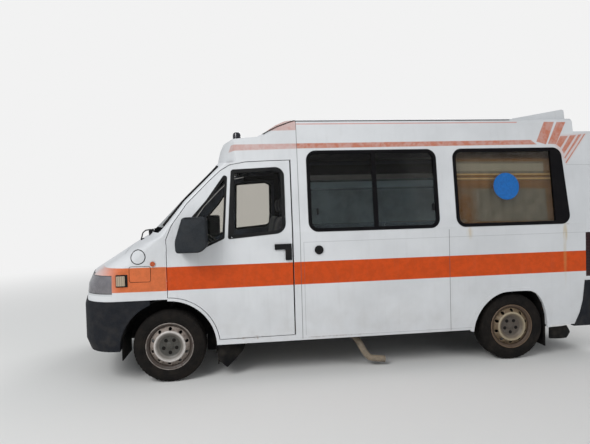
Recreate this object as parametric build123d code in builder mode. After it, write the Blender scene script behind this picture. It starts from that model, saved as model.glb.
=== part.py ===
from build123d import *
import os

os.makedirs("parts", exist_ok=True)

# Van-based ambulance, high roof, in millimetres.
# +X runs to the rear, the left side is at -Y, +Z is up, the ground is Z = 0.

# Overall sizes
LENGTH = 5005
HALF_WIDTH = 999
FRONT_OVERHANG = 885
WHEELBASE = 3200
REAR_END = LENGTH - FRONT_OVERHANG
FRONT_AXLE_X = FRONT_OVERHANG - LENGTH / 2
REAR_AXLE_X = FRONT_AXLE_X + WHEELBASE

# Wheels
TYRE_R = 318
TYRE_WIDTH = 190
RIM_R = 207
WHEEL_Y = 868
VENT_COUNT = 10
VENT_PITCH_R = 155
VENT_R = 17
BOLT_COUNT = 5
BOLT_PITCH_R = 59
BOLT_R = 8
KINGPIN_Y = 742

# Panels, glass and gaps
WALL = 45
DOOR_THICK = 44
GLASS_INSET = 9
GLASS_THICK = 5
SEAM = 6
DOOR_REAR_GAP = 12
BELT_Z = 1289
SILL_Z = 319
FLOOR_Z = 520
FLOOR_THICK = 40
SIDE_TOP_Z = 2075

# Stations are distances behind the front axle
DOOR_REAR = 1117
CAB_REAR = 1172
BODY_REAR = 4095
REAR_DOOR_HALF = 782
REAR_DOOR_Z = (470, 2120)
ARCH_R = 415
ARCH_Z = 312
ARCH_INNER_Y = 575


def at(station):
    """X of a station behind the front axle."""
    return FRONT_AXLE_X + station


# Body form: height, front centre, front at the side, corner radius, half width
FORM = [
    (SILL_Z, -850, -640, 320, 995),
    (740, -862, -640, 320, 995),
    (870, -846, -624, 315, 995),
    (970, -799, -575, 300, 995),
    (1244, -365, -140, 90, 995),
    (BELT_Z, -282, -45, 40, 995),
    (1600, 33, 190, 35, 961),
    (1961, 399, 560, 35, 920),
    (SIDE_TOP_Z, 515, 680, 35, 907),
]


def body_form(inset, rear=BODY_REAR):
    """Whole lower body as one closed block, drawn in from every side."""
    with BuildPart() as block:
        for height, nose, corner, radius, half in FORM:
            with BuildSketch(Plane.XY.offset(height)) as ring:
                with BuildLine():
                    ThreePointArc((at(corner), -half), (at(nose), 0), (at(corner), half))
                    Polyline((at(corner), half), (at(rear), half), (at(rear), -half), (at(corner), -half))
                make_face()
                fillet(ring.vertices().group_by(Axis.X)[0], radius)
                if inset:
                    offset(amount=-inset, kind=Kind.ARC)
        loft(ruled=True)
    return block.part


def side_block(points, y0, y1, radius=0):
    """Side-view outline given as (station, height), extruded from y0 to y1."""
    with BuildPart() as block:
        with BuildSketch(Plane.XZ.offset(-y1)) as face:
            with BuildLine():
                Polyline(*[(at(s), z) for s, z in points], close=True)
            make_face()
            if radius:
                fillet(face.vertices(), radius)
        extrude(amount=y1 - y0)
    return block.part


def box_block(s0, s1, y0, y1, z0, z1):
    """Plain box between two stations, two sides and two heights."""
    with BuildPart() as block:
        with Locations((at((s0 + s1) / 2), (y0 + y1) / 2, (z0 + z1) / 2)):
            Box(s1 - s0, y1 - y0, z1 - z0)
    return block.part


def rounded(points, radius):
    """Side-view outline through the whole width with rounded corners."""
    return side_block(points, -1300, 1300, radius)


def side_cylinder(s, z, radius, y0, y1):
    """Cylinder lying across the van."""
    with BuildPart() as block:
        with Locations(Location((at(s), (y0 + y1) / 2, z), (90, 0, 0))):
            Cylinder(radius, y1 - y0)
    return block.part


# Side outlines, as (station, height)
DOOR = [
    (0, 700), (0, 1262), (51, 1385), (182, 1567), (383, 1768), (482, 1858), (570, 1910),
    (708, 1934), (932, 1942), (DOOR_REAR, 1945), (DOOR_REAR, 368), (400, 362),
]
QUARTER_WINDOW = [
    (112, 1160), (284, 1155), (508, 1254), (550, 1866), (356, 1596), (120, 1330),
]
DOOR_WINDOW = [
    (566, 1250), (985, 1285), (1032, 1330), (1052, 1536), (1052, 1830), (974, 1872), (590, 1850),
]
WINDOW_ONE = [(1258, 1287), (2488, 1287), (2488, 2026), (1258, 2026)]
WINDOW_TWO = [(2650, 1287), (3795, 1287), (3752, 2026), (2650, 2026)]
SIDE_DOOR = [(1184, 372), (2568, 372), (2568, 2056), (1184, 2056)]
DOOR_ARCH_R = ARCH_R + 25
WINDOW_RADIUS = 90
REAR_ARCH = [(2788, 300), (2826, 430), (2910, 565), (3010, 640), (3120, 668), (3370, 668),
             (3455, 620), (3512, 530), (3540, 420), (3546, 300)]


def inset_outline(points, amount, radius, y0, y1):
    """Outline drawn in by an amount, through the whole width."""
    with BuildPart() as block:
        with BuildSketch(Plane.XZ.offset(-y1)) as face:
            with BuildLine():
                Polyline(*[(at(s), z) for s, z in points], close=True)
            make_face()
            if radius:
                fillet(face.vertices(), radius)
            offset(amount=-amount, kind=Kind.ARC)
        extrude(amount=y1 - y0)
    return block.part


SECTION = [(995, 200), (995, BELT_Z), (920, 1961), (907, SIDE_TOP_Z)]


def load_form(inset, s0, s1):
    """Straight run of the body's cross-section between two stations."""
    with BuildPart() as block:
        with BuildSketch(Plane.YZ.offset(at(s0))):
            with BuildLine():
                Polyline(*[(y - inset, z) for y, z in SECTION], *[(inset - y, z) for y, z in reversed(SECTION)],
                         close=True)
            make_face()
        extrude(amount=s1 - s0)
    return block.part


outer = body_form(0)
cavity = body_form(WALL, BODY_REAR + 2 * WALL)

# Arched seam under the roof pieces of the cab
with BuildPart() as above_seam:
    with BuildSketch(Plane.YZ.offset(at(-300))):
        with BuildLine():
            ThreePointArc((-1100, 1848), (0, 1941), (1100, 1848))
            Polyline((1100, 1848), (1100, 2700), (-1100, 2700), (-1100, 1848))
        make_face()
    extrude(amount=CAB_REAR + 340, dir=(1, 0, 0.06))

front_arches = [side_cylinder(0, ARCH_Z, ARCH_R, -1200, -ARCH_INNER_Y),
                side_cylinder(0, ARCH_Z, ARCH_R, ARCH_INNER_Y, 1200)]
rear_arches = [side_block(REAR_ARCH, -1200, -640), side_block(REAR_ARCH, 640, 1200)]


# Moving and fixed panel edges
BONNET_HALF = 800
BONNET_Z = (976, 1300)
BONNET_REAR = -390
LAMP_Z = (790, 966)
BUMPER_TOP = 742

BUMPER_FORM = [
    (305, -850, -625, 300, 985),
    (400, -885, -658, 330, HALF_WIDTH),
    (690, -885, -658, 330, HALF_WIDTH),
    (BUMPER_TOP, -870, -642, 320, 997),
]


def bumper_form(inset):
    """Front bumper as a closed block, drawn in from the front and the sides."""
    with BuildPart() as block:
        for height, nose, corner, radius, half in BUMPER_FORM:
            with BuildSketch(Plane.XY.offset(height)) as ring:
                with BuildLine():
                    ThreePointArc((at(corner), -half), (at(nose), 0), (at(corner), half))
                    Polyline((at(corner), half), (at(0), half), (at(0), -half), (at(corner), -half))
                make_face()
                fillet(ring.vertices().group_by(Axis.X)[0], radius)
                if inset:
                    offset(amount=-inset, kind=Kind.ARC)
        loft(ruled=True)
    return block.part


def walls(thick_cavity, blocks):
    """Wall of the body form, kept inside the given blocks."""
    with BuildPart() as piece:
        add(outer)
        add(thick_cavity, mode=Mode.SUBTRACT)
        for block in blocks:
            add(block, mode=Mode.INTERSECT)
    return piece.part


wide = 1300
cab_walls = walls(cavity, [box_block(-900, CAB_REAR, -wide, wide, SILL_Z, SIDE_TOP_Z)])
door_opening = rounded(DOOR, 0)
door_arch_lip = side_cylinder(0, ARCH_Z, DOOR_ARCH_R, -1200, 1200)
with BuildPart() as door_hole:
    add(door_opening)
    add(door_arch_lip, mode=Mode.SUBTRACT)

# Rear bumper block, also cut out of the body corners
REAR_BUMPER_FRONT = [(3810, 300), (3874, 431), (3906, 545), (3930, 738)]
REAR_BUMPER_CORNER = 70
DOOR_HOLE_HALF = REAR_DOOR_HALF + SEAM
with BuildPart() as rear_bumper:
    add(rounded(REAR_BUMPER_FRONT + [(REAR_END, 738), (REAR_END, 300)], 0))
    with BuildSketch(Plane.XY.offset(290)) as plan:
        with Locations((at(REAR_END) - 250, 0)):
            Rectangle(500, 2 * HALF_WIDTH)
        fillet(plan.vertices().group_by(Axis.X)[-1], REAR_BUMPER_CORNER)
    extrude(amount=500, mode=Mode.INTERSECT)
    add(box_block(4000, 4200, -DOOR_HOLE_HALF, DOOR_HOLE_HALF, REAR_DOOR_Z[0] - 8, 900), mode=Mode.SUBTRACT)
    add(box_block(3700, 4040, -REAR_DOOR_HALF - 170, REAR_DOOR_HALF + 170, 200, 900), mode=Mode.SUBTRACT)
rear_bumper_block = rounded(REAR_BUMPER_FRONT + [(REAR_END + 80, 738), (REAR_END + 80, 300)], 0)

# Hinges: stacked barrels, the lower one on the fixed side
BARREL_GAP = 0.3
DOOR_HINGE = (3, 1000, 3)
REAR_HINGE = (REAR_END - 7, 790, 7)
BONNET_HINGE = (-387, 1236, 3)


def door_barrels(side, fixed):
    """Barrels of one front door's two hinges, with their leaves."""
    s, y, r = DOOR_HINGE
    with BuildPart() as block:
        for z in (840, 1160):
            z0, z1 = (z, z + 30) if fixed else (z + 30 + BARREL_GAP, z + 60)
            with Locations((at(s), side * y, (z0 + z1) / 2)):
                Cylinder(r, z1 - z0)
            edge = (0, s) if fixed else (s, SEAM)
            add(box_block(*edge, *sorted((side * 980, side * y)), z0, z1))
    return block.part


def rear_barrels(side, fixed):
    """Barrels of one rear door's three hinges, with their leaves."""
    s, y, r = REAR_HINGE
    with BuildPart() as block:
        for z in (800, 1400, 1950):
            z0, z1 = (z, z + 30) if fixed else (z + 30 + BARREL_GAP, z + 60)
            with Locations((at(s), side * y, (z0 + z1) / 2)):
                Cylinder(r, z1 - z0)
            reach = (y, y + 50) if fixed else (y - 60, y)
            face = (BODY_REAR, s) if fixed else (4100, s - 3)
            add(box_block(*face, *sorted((side * reach[0], side * reach[1])), z0, z1))
    return block.part


def bonnet_barrels(fixed):
    """Barrels of the bonnet's two hinges, with their leaves."""
    s, z, r = BONNET_HINGE
    with BuildPart() as block:
        for side in (-1, 1):
            y0, y1 = (70, 100) if fixed else (100 + BARREL_GAP, 130)
            add(side_cylinder(s, z, r, *sorted((side * y0, side * y1))))
            edge = (s, BONNET_REAR + SEAM) if fixed else (BONNET_REAR, s)
            add(box_block(*edge, *sorted((side * y0, side * y1)), 1205, z))
    return block.part


# Cab: pillars, sills, arch lips, screen frame and cowl panel
with BuildPart() as screen_region:
    with BuildSketch(Plane.YZ.offset(at(-900))) as face:
        with BuildLine():
            Polyline((-828, 1905), (-895, 1318), (895, 1318), (828, 1905))
            ThreePointArc((828, 1905), (0, 1965), (-828, 1905))
        make_face()
        fillet(face.vertices(), 40)
    extrude(amount=1560)
with BuildPart() as cab_shell:
    add(cab_walls)
    add(box_block(-900, BONNET_REAR + SEAM, -wide, wide, 0, 1240), mode=Mode.SUBTRACT)
    for side in (-1, 1):
        y0, y1 = sorted((side * (BONNET_HALF + SEAM), side * wide))
        add(box_block(BONNET_REAR, 0, y0, y1, 0, 1240), mode=Mode.SUBTRACT)
    add(box_block(-200, 0, -wide, wide, 0, 1200), mode=Mode.SUBTRACT)
    add(above_seam.part, mode=Mode.SUBTRACT)
    add(screen_region.part, mode=Mode.SUBTRACT)
    for front_arch in front_arches:
        add(front_arch, mode=Mode.SUBTRACT)
    add(door_hole.part, mode=Mode.SUBTRACT)
    add(bonnet_barrels(True))


# Front wings joined by the strip below the lamps and grille
bonnet_zone = box_block(-900, 0, -BONNET_HALF - SEAM, BONNET_HALF + SEAM, LAMP_Z[1], 1300)
lamp_zones = [box_block(-900, -462, -wide, -520, *LAMP_Z), box_block(-900, -462, 520, wide, *LAMP_Z)]
grille_zone = box_block(-900, -462, -520, 520, *LAMP_Z)
with BuildPart() as wing_flashers:
    for side in (-1, 1):
        with Locations((at(-378), side * 998, 919)):
            Box(95, 12, 100)
        with Locations(Location((at(-114), side * 999, 1057), (90, 0, 0))):
            Cylinder(22, 12)
with BuildPart() as front_wings:
    add(walls(cavity, [box_block(-900, 0, -wide, wide, BUMPER_TOP, 1240)]))
    add(bonnet_zone, mode=Mode.SUBTRACT)
    for zone in lamp_zones + [grille_zone, wing_flashers.part] + front_arches:
        add(zone, mode=Mode.SUBTRACT)
    for side in (-1, 1):
        add(door_barrels(side, True))

# Bonnet
bonnet_cavity = body_form(32, BODY_REAR)
with BuildPart() as bonnet:
    add(outer)
    add(bonnet_cavity, mode=Mode.SUBTRACT)
    add(box_block(-900, BONNET_REAR, -BONNET_HALF, BONNET_HALF, *BONNET_Z), mode=Mode.INTERSECT)
    add(bonnet_barrels(False))

# Lamps, grille and front bumper
with BuildPart() as headlamps:
    for zone in lamp_zones:
        add(walls(cavity, [zone]))
with BuildPart() as grille:
    add(walls(cavity, [grille_zone]))
    with Locations(*[(at(-850), 0, LAMP_Z[0] + 28 + 30 * i) for i in range(5)]):
        Box(60, 960, 14, mode=Mode.SUBTRACT)
with BuildPart() as front_bumper:
    add(bumper_form(0))
    add(bumper_form(50), mode=Mode.SUBTRACT)
    add(box_block(-1000, -150, -wide, wide, 0, 900), mode=Mode.INTERSECT)
    for front_arch in front_arches:
        add(front_arch, mode=Mode.SUBTRACT)
    with Locations((at(-860), 0, 430)):
        Box(160, 900, 90, mode=Mode.SUBTRACT)

# Side windows
GASKET = 32
SIDE_LINE = [(995, 1000), (995, BELT_Z), (920, 1961), (907, SIDE_TOP_Z)]


def side_sheet(deep, out, side):
    """Sheet that follows one side wall, from deep inside it to out beyond it."""
    with BuildPart() as block:
        with BuildSketch(Plane.YZ.offset(at(-60))):
            with BuildLine():
                Polyline(*[(side * (y - deep), z) for y, z in SIDE_LINE],
                         *[(side * (y + out), z) for y, z in reversed(SIDE_LINE)], close=True)
            make_face()
        extrude(amount=4200)
    return block.part


def on_sides(deep, out, shape, cut=None, sides=(-1, 1)):
    """Shape kept within the wall sheet of each side."""
    with BuildPart() as block:
        for side in sides:
            add(side_sheet(deep, out, side))
        add(shape, mode=Mode.INTERSECT)
        if cut:
            add(cut, mode=Mode.SUBTRACT)
    return block.part


holes = []
rings = []
panes = []
for outline in (WINDOW_ONE, WINDOW_TWO):
    whole = inset_outline(outline, 0, WINDOW_RADIUS, -wide, wide)
    clear = inset_outline(outline, GASKET, WINDOW_RADIUS, -wide, wide)
    holes.append(whole)
    rings.append(on_sides(24, 3, whole, clear))
    panes.append(clear)
slider_bar = box_block(1866, 1904, -wide, wide, 1287 + GASKET, 2026 - GASKET)
band = box_block(3640, 3900, -wide, wide, 1200, 2100)
with BuildPart() as band_zone:
    add(panes[1])
    add(band, mode=Mode.INTERSECT)
with BuildPart() as window_seals:
    for ring in rings:
        add(ring)
    add(on_sides(24, 3, slider_bar))
    add(on_sides(24, 3, band_zone.part))
with BuildPart() as side_glass:
    add(on_sides(GLASS_INSET + GLASS_THICK, -GLASS_INSET, panes[0], slider_bar))
    add(on_sides(GLASS_INSET + GLASS_THICK, -GLASS_INSET, panes[1], band))

# Windscreen, its rubber and the wipers
screen_back = body_form(14, BODY_REAR)
screen_front = body_form(6, BODY_REAR)
with BuildPart() as windscreen:
    add(screen_front)
    add(screen_back, mode=Mode.SUBTRACT)
    add(screen_region.part, mode=Mode.INTERSECT)
    add(door_opening, mode=Mode.SUBTRACT)
# Wipers: (pivot across, pivot station, pivot foot height, blade middle across, blade middle station, turn)
WIPERS = [(-560, -206, 1276, -328, -232, 8.4), (60, -268, 1284, 295, -234, -8.4)]
with BuildPart() as wipers:
    for pivot_y, pivot_s, foot, blade_y, blade_s, turn in WIPERS:
        with Locations((at(pivot_s), pivot_y, (foot + 1334) / 2)):
            Cylinder(14, 1334 - foot)
        with Locations(Location((at(blade_s), blade_y, 1327), (0, 0, turn))):
            Box(14, 480, 14)
    add(cab_shell.part, mode=Mode.SUBTRACT)

# Load body walls and the fixed rear frame
LAMP_REAR_Z = (776, 1200)
tail_zones = [box_block(3945, 4200, -wide, -900, *LAMP_REAR_Z), box_block(3945, 4200, 900, wide, *LAMP_REAR_Z)]
rear_opening = box_block(3900, 4300, -DOOR_HOLE_HALF, DOOR_HOLE_HALF, REAR_DOOR_Z[0] - 8, REAR_DOOR_Z[1] + 8)
side_door_hole = side_block(SIDE_DOOR, 0, wide, 40)
with BuildPart() as load_shell:
    add(load_form(0, CAB_REAR, BODY_REAR))
    add(load_form(WALL, CAB_REAR - 50, 4040), mode=Mode.SUBTRACT)
    add(box_block(CAB_REAR, BODY_REAR, -wide, wide, 0, SILL_Z), mode=Mode.SUBTRACT)
    add(rear_opening, mode=Mode.SUBTRACT)
    for hole in holes + rear_arches + tail_zones + [side_door_hole, rear_bumper_block]:
        add(hole, mode=Mode.SUBTRACT)
    for side in (-1, 1):
        add(rear_barrels(side, True))

with BuildPart() as tail_zone:
    for zone in tail_zones:
        add(zone)
with BuildPart() as tail_lamps:
    add(load_form(0, CAB_REAR, BODY_REAR))
    add(tail_zone.part, mode=Mode.INTERSECT)

with BuildPart() as side_door:
    add(load_form(0, CAB_REAR, BODY_REAR))
    add(load_form(WALL, CAB_REAR - 50, BODY_REAR + 50), mode=Mode.SUBTRACT)
    add(inset_outline(SIDE_DOOR, SEAM, 40, 0, wide), mode=Mode.INTERSECT)
    add(holes[0], mode=Mode.SUBTRACT)

# High roof over the load space with the raised fairing at its rear
ROOF_REAR = 3905
ROOF_WALL = 40
LEDGE_Z = 2183


def roof_section(inset, s0, s1):
    """Cross-section of the high roof, run between two stations."""
    with BuildPart() as block:
        with BuildSketch(Plane.YZ.offset(at(s0))) as face:
            with BuildLine():
                Polyline((-874, 2312), (-910, SIDE_TOP_Z - 30), (910, SIDE_TOP_Z - 30), (874, 2312))
                ThreePointArc((874, 2312), (0, 2372), (-874, 2312))
            make_face()
            fillet(face.vertices().group_by(Axis.Y)[-1], 55)
            if inset:
                offset(amount=-inset, kind=Kind.ARC)
        extrude(amount=s1 - s0)
    return block.part


with BuildPart() as roof_zone:
    add(box_block(CAB_REAR, ROOF_REAR, -wide, wide, SIDE_TOP_Z, 2600))
    add(box_block(ROOF_REAR, BODY_REAR, -wide, wide, SIDE_TOP_Z, LEDGE_Z))
with BuildPart() as roof_room:
    add(roof_section(ROOF_WALL, CAB_REAR - 10, BODY_REAR))
    add(box_block(CAB_REAR - 50, ROOF_REAR - ROOF_WALL, -wide, wide, 2000, 2600), mode=Mode.INTERSECT)
    add(box_block(3500, BODY_REAR - 55, -wide + 440, wide - 440, 2000, LEDGE_Z - ROOF_WALL))
with BuildPart() as roof_panel:
    add(roof_section(0, CAB_REAR, BODY_REAR))
    add(roof_zone.part, mode=Mode.INTERSECT)
    add(roof_room.part, mode=Mode.SUBTRACT)
    add(box_block(CAB_REAR - 50, 3800, -868, 868, 2000, SIDE_TOP_Z + 30), mode=Mode.SUBTRACT)
    add(rear_opening, mode=Mode.SUBTRACT)

FAIRING = [(3250, 2290), (3337, 2330), (3862, 2417), (3884, 2408), (3898, 2290)]
with BuildPart() as roof_fairing:
    with BuildSketch(Plane.XZ.offset(-790)):
        with BuildLine():
            Polyline(*[(at(s), z) for s, z in FAIRING], close=True)
        make_face()
    extrude(amount=2 * 790)
with BuildPart() as high_roof:
    add(roof_panel.part)
    add(roof_fairing.part)
    add(roof_room.part, mode=Mode.SUBTRACT)

# Roof cap over the cab
CAP_PROFILE = [
    (300, 1850), (436, 1998), (476, 2085), (510, 2128), (600, 2142), (822, 2160), (872, 2186), (989, 2261),
    (1073, 2300), (1138, 2316), (CAB_REAR, 2318), (CAB_REAR, 1850),
]


def cap_form(inset):
    """Cab roof cap as a closed block, drawn in from every side."""
    with BuildPart() as block:
        with BuildSketch(Plane.XZ.offset(-wide)):
            with BuildLine():
                Polyline(*[(at(s), z) for s, z in CAP_PROFILE], close=True)
            make_face()
            if inset:
                offset(amount=-inset, kind=Kind.INTERSECTION)
        extrude(amount=2 * wide)
        with BuildSketch(Plane.XY.offset(1800)) as plan:
            with BuildLine():
                ThreePointArc((at(640), -960), (at(425), 0), (at(640), 960))
                Polyline((at(640), 960), (at(CAB_REAR), 960), (at(CAB_REAR), -960), (at(640), -960))
            make_face()
            fillet(plan.vertices().group_by(Axis.X)[0], 130)
            if inset:
                offset(amount=-inset, kind=Kind.ARC)
        extrude(amount=700, mode=Mode.INTERSECT)
        with BuildSketch(Plane.YZ.offset(at(100))) as face:
            with BuildLine():
                Polyline((-874, 2312), (-925, 1850), (925, 1850), (874, 2312))
                ThreePointArc((874, 2312), (0, 2372), (-874, 2312))
            make_face()
            fillet(face.vertices().group_by(Axis.Y)[-1], 55)
            if inset:
                offset(amount=-inset, kind=Kind.ARC)
        extrude(amount=1500, mode=Mode.INTERSECT)
    return block.part


with BuildPart() as cap_room:
    add(cap_form(38))
    add(box_block(-100, CAB_REAR + 60, -845, 845, 1800, 2060))
    add(cap_form(25), mode=Mode.INTERSECT)
with BuildPart() as cab_roof_cap:
    add(cap_form(0))
    add(above_seam.part, mode=Mode.INTERSECT)
    add(cap_room.part, mode=Mode.SUBTRACT)


# Front doors: panel, glass with its rubber, mirror and handle
MIRROR = (150, 386, 1016, 1212, 1165, 1450)
door_arch = side_cylinder(0, ARCH_Z, DOOR_ARCH_R + SEAM, -1200, 1200)
quarter = rounded(QUARTER_WINDOW, 22)
main_window = rounded(DOOR_WINDOW, 30)
quarter_clear = inset_outline(QUARTER_WINDOW, 20, 22, -wide, wide)
main_clear = inset_outline(DOOR_WINDOW, 22, 30, -wide, wide)
with BuildPart() as door_panel:
    add(load_form(0, -50, 1300))
    add(load_form(DOOR_THICK, -100, 1350), mode=Mode.SUBTRACT)
    add(inset_outline(DOOR, SEAM, 0, 0, wide), mode=Mode.INTERSECT)
    add(box_block(DOOR_REAR - DOOR_REAR_GAP, 1300, -wide, wide, 0, 2400), mode=Mode.SUBTRACT)
    add(door_arch, mode=Mode.SUBTRACT)
    add(quarter, mode=Mode.SUBTRACT)
    add(main_window, mode=Mode.SUBTRACT)


def door_seal(side):
    """Black rubber round both panes of a front door."""
    with BuildPart() as block:
        add(on_sides(24, 2, quarter, quarter_clear, (side,)))
        add(on_sides(24, 2, main_window, main_clear, (side,)))
    return block.part


def door_glass(side):
    """Both panes of a front door."""
    with BuildPart() as block:
        add(on_sides(GLASS_INSET + GLASS_THICK, -GLASS_INSET, quarter_clear, None, (side,)))
        add(on_sides(GLASS_INSET + GLASS_THICK, -GLASS_INSET, main_clear, None, (side,)))
    return block.part


def door_mirror(side):
    """Mirror head with its two arms."""
    s0, s1, y0, y1, z0, z1 = MIRROR
    with BuildPart() as block:
        with Locations((at((s0 + s1) / 2), side * (y0 + y1) / 2, (z0 + z1) / 2)):
            Box(s1 - s0, y1 - y0, z1 - z0)
        fillet(block.edges().filter_by(Axis.Y), 45)
        fillet(block.faces().sort_by(Axis.Y)[-1 if side > 0 else 0].edges(), 30)
        with Locations((at(s1), side * (y0 + y1) / 2, (z0 + z1) / 2)):
            Box(16, y1 - y0 - 60, z1 - z0 - 60, mode=Mode.SUBTRACT)
        with Locations((at(190), side * 1006, 1230)):
            Box(90, 24, 110)
    return block.part


def door_handle(side):
    """Angled pull handle with its lock plate."""
    with BuildPart() as block:
        with Locations((at(1022), side * 1002, 1165)):
            Box(150, 18, 50)
        with Locations((at(1070), side * 1002, 1100)):
            Box(56, 18, 110)
    return block.part


named = {}
for word, side in (("left", -1), ("right", 1)):
    named[word + "_door_glass"] = door_glass(side)
    named[word + "_mirror"] = door_mirror(side)
    with BuildPart() as trim:
        add(door_seal(side))
        add(door_handle(side))
        add(named[word + "_mirror"], mode=Mode.SUBTRACT)
    named[word + "_door_trim"] = trim.part
with BuildPart() as left_trimmed:
    add(mirror(door_panel.part, about=Plane.XZ))
    add(door_handle(-1), mode=Mode.SUBTRACT)
    add(named["left_mirror"], mode=Mode.SUBTRACT)
    add(door_barrels(-1, False))
named["left_door"] = left_trimmed.part
named["right_door"] = mirror(left_trimmed.part, about=Plane.XZ)

# Rear doors with windows
REAR_DOOR_S = (4052, 4100)
REAR_WINDOW = [(150, 1300), (690, 1300), (660, 1960), (150, 1960)]
with BuildPart() as rear_window_clear:
    with BuildSketch(Plane.YZ.offset(at(4000))) as face:
        with BuildLine():
            Polyline(*REAR_WINDOW, close=True)
        make_face()
        fillet(face.vertices(), 60)
        offset(amount=-GASKET, kind=Kind.ARC)
    extrude(amount=200)
with BuildPart() as rear_panel:
    add(box_block(*REAR_DOOR_S, 6, REAR_DOOR_HALF, *REAR_DOOR_Z))
    fillet(rear_panel.edges().filter_by(Axis.X), 18)
    add(rear_window_clear.part, mode=Mode.SUBTRACT)
    add(rear_barrels(1, False))
with BuildPart() as rear_pane:
    add(rear_window_clear.part)
    add(box_block(4086, 4091, 0, 900, 1000, 2100), mode=Mode.INTERSECT)
for word, side in (("left", -1), ("right", 1)):
    for piece, shape in (("door", rear_panel), ("door_glass", rear_pane)):
        part = shape.part if side > 0 else mirror(shape.part, about=Plane.XZ)
        named["rear_" + word + "_" + piece] = part

# Wheels: (radius, distance out from the wheel's middle plane)
RIM_SECTION = [
    (30, 22), (70, 22), (84, 34), (128, 34), (140, 46), (152, 34), (172, 24), (178, 30), (178, 72), (200, 78),
    (200, 84), (RIM_R, 84), (RIM_R, 72), (186, 66), (186, -66), (RIM_R, -72), (RIM_R, -84), (200, -84),
    (200, -78), (178, -72), (178, 16), (172, 12), (152, 20), (140, 30), (128, 18), (84, 18), (70, 6), (30, 6),
]
TYRE_SECTION = [
    (186, 65), (208, 71), (210, 86), (250, TYRE_WIDTH / 2), (292, 90), (310, 78), (TYRE_R, 60),
    (TYRE_R, -60), (310, -78), (292, -90), (250, -TYRE_WIDTH / 2), (210, -86), (208, -71), (186, -65),
]


def turned(section, x, y, side):
    """Section turned about a wheel's axle."""
    with BuildPart() as block:
        with BuildSketch(Plane.XY):
            with BuildLine():
                Polyline(*[(r, side * out) for r, out in section], close=True)
            make_face()
        revolve(axis=Axis.Y)
    return block.part.moved(Location((x, y, TYRE_R)))


def wheel_rim(x, side):
    """Pressed steel wheel with vent and bolt holes."""
    with BuildPart() as block:
        add(turned(RIM_SECTION, 0, 0, side).moved(Location((0, 0, -TYRE_R))))
        with BuildSketch(Plane.XZ.offset(-200)):
            with PolarLocations(VENT_PITCH_R, VENT_COUNT):
                Circle(VENT_R)
            with PolarLocations(BOLT_PITCH_R, BOLT_COUNT):
                Circle(BOLT_R)
        extrude(amount=400, mode=Mode.SUBTRACT)
    return block.part.moved(Location((x, side * WHEEL_Y, TYRE_R)))


for end, x in (("front", FRONT_AXLE_X), ("rear", REAR_AXLE_X)):
    for word, side in (("left", -1), ("right", 1)):
        named[f"{end}_{word}_rim"] = wheel_rim(x, side)
        named[f"{end}_{word}_tyre"] = turned(TYRE_SECTION, x, side * WHEEL_Y, side)


# Knuckles: the strut stands on the steering axis and turns with the wheel
HUB_R = 29.5
for word, side in (("left", -1), ("right", 1)):
    with BuildPart() as knuckle:
        with Locations((FRONT_AXLE_X, side * (KINGPIN_Y - 4), 335)):
            Box(90, 56, 165)
        with Locations((FRONT_AXLE_X, side * KINGPIN_Y, 555)):
            Cylinder(21, 290)
        with Locations((FRONT_AXLE_X + 75, side * (KINGPIN_Y - 30), 300)):
            Box(90, 30, 30)
        for reach, y0, y1 in ((48, KINGPIN_Y + 20, WHEEL_Y - 4), (128, WHEEL_Y - 57, WHEEL_Y - 35),
                              (HUB_R, WHEEL_Y - 10, WHEEL_Y + 28)):
            add(side_cylinder(0, TYRE_R, reach, *sorted((side * y0, side * y1))))
    named[word + "_knuckle"] = knuckle.part

# Floor with chassis rails and wheel housings
LINER = 10
RAIL_Y = (470, 550)
HOUSING = [
    (REAR_ARCH[0][0] - LINER, 300), (REAR_ARCH[1][0] - LINER, 432), (2902, 573), (3006, 650), (3118, 678),
    (3374, 678), (3462, 626), (3522, 534), (3550, 422), (3556, 300),
]
with BuildPart() as floor:
    add(box_block(-60, 4040, -950, 950, FLOOR_Z - FLOOR_THICK, FLOOR_Z))
    for side in (-1, 1):
        add(box_block(-60, DOOR_REAR + 6, *sorted((side * 936, side * 960)), 400, 600), mode=Mode.SUBTRACT)
    for side in (-1, 1):
        y0, y1 = sorted((side * RAIL_Y[0], side * RAIL_Y[1]))
        add(box_block(-560, 4040, y0, y1, 400, FLOOR_Z - FLOOR_THICK))
        y0, y1 = sorted((side * (ARCH_INNER_Y - LINER), side * 925))
        add(side_cylinder(0, ARCH_Z, ARCH_R + LINER, y0, y1))
        y0, y1 = sorted((side * 630, side * 950))
        add(side_block(HOUSING, y0, y1))
    for s in (1150, 2450, 3990):
        add(box_block(s, s + 50, -RAIL_Y[0], RAIL_Y[0], 420, FLOOR_Z - FLOOR_THICK))
    add(box_block(-900, 900, -wide, wide, -400, ARCH_Z), mode=Mode.SUBTRACT)
    add(box_block(2700, 3600, -wide, -600, 0, 300), mode=Mode.SUBTRACT)
    for side in (-1, 1):
        add(box_block(2700, 3600, *sorted((side * 600, side * 642)), 0, 400), mode=Mode.SUBTRACT)
    for cut in front_arches + rear_arches:
        add(cut, mode=Mode.SUBTRACT)
    add(box_block(-100, -60, -936, 936, FLOOR_Z - FLOOR_THICK, 1240))
    for cut in front_arches:
        add(cut, mode=Mode.SUBTRACT)
named["floor"] = floor.part

with BuildPart() as bulkhead:
    with BuildSketch(Plane.YZ.offset(at(1185))):
        with BuildLine():
            Polyline((950, FLOOR_Z), (950, BELT_Z), (874, 1961), (860, 2079), (840, 2240), (-840, 2240),
                     (-860, 2079), (-874, 1961), (-950, BELT_Z), (-950, FLOOR_Z), close=True)
        make_face()
        with Locations((0, 1600)):
            RectangleRounded(700, 420, 40, mode=Mode.SUBTRACT)
    extrude(amount=20)
named["bulkhead"] = bulkhead.part

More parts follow.
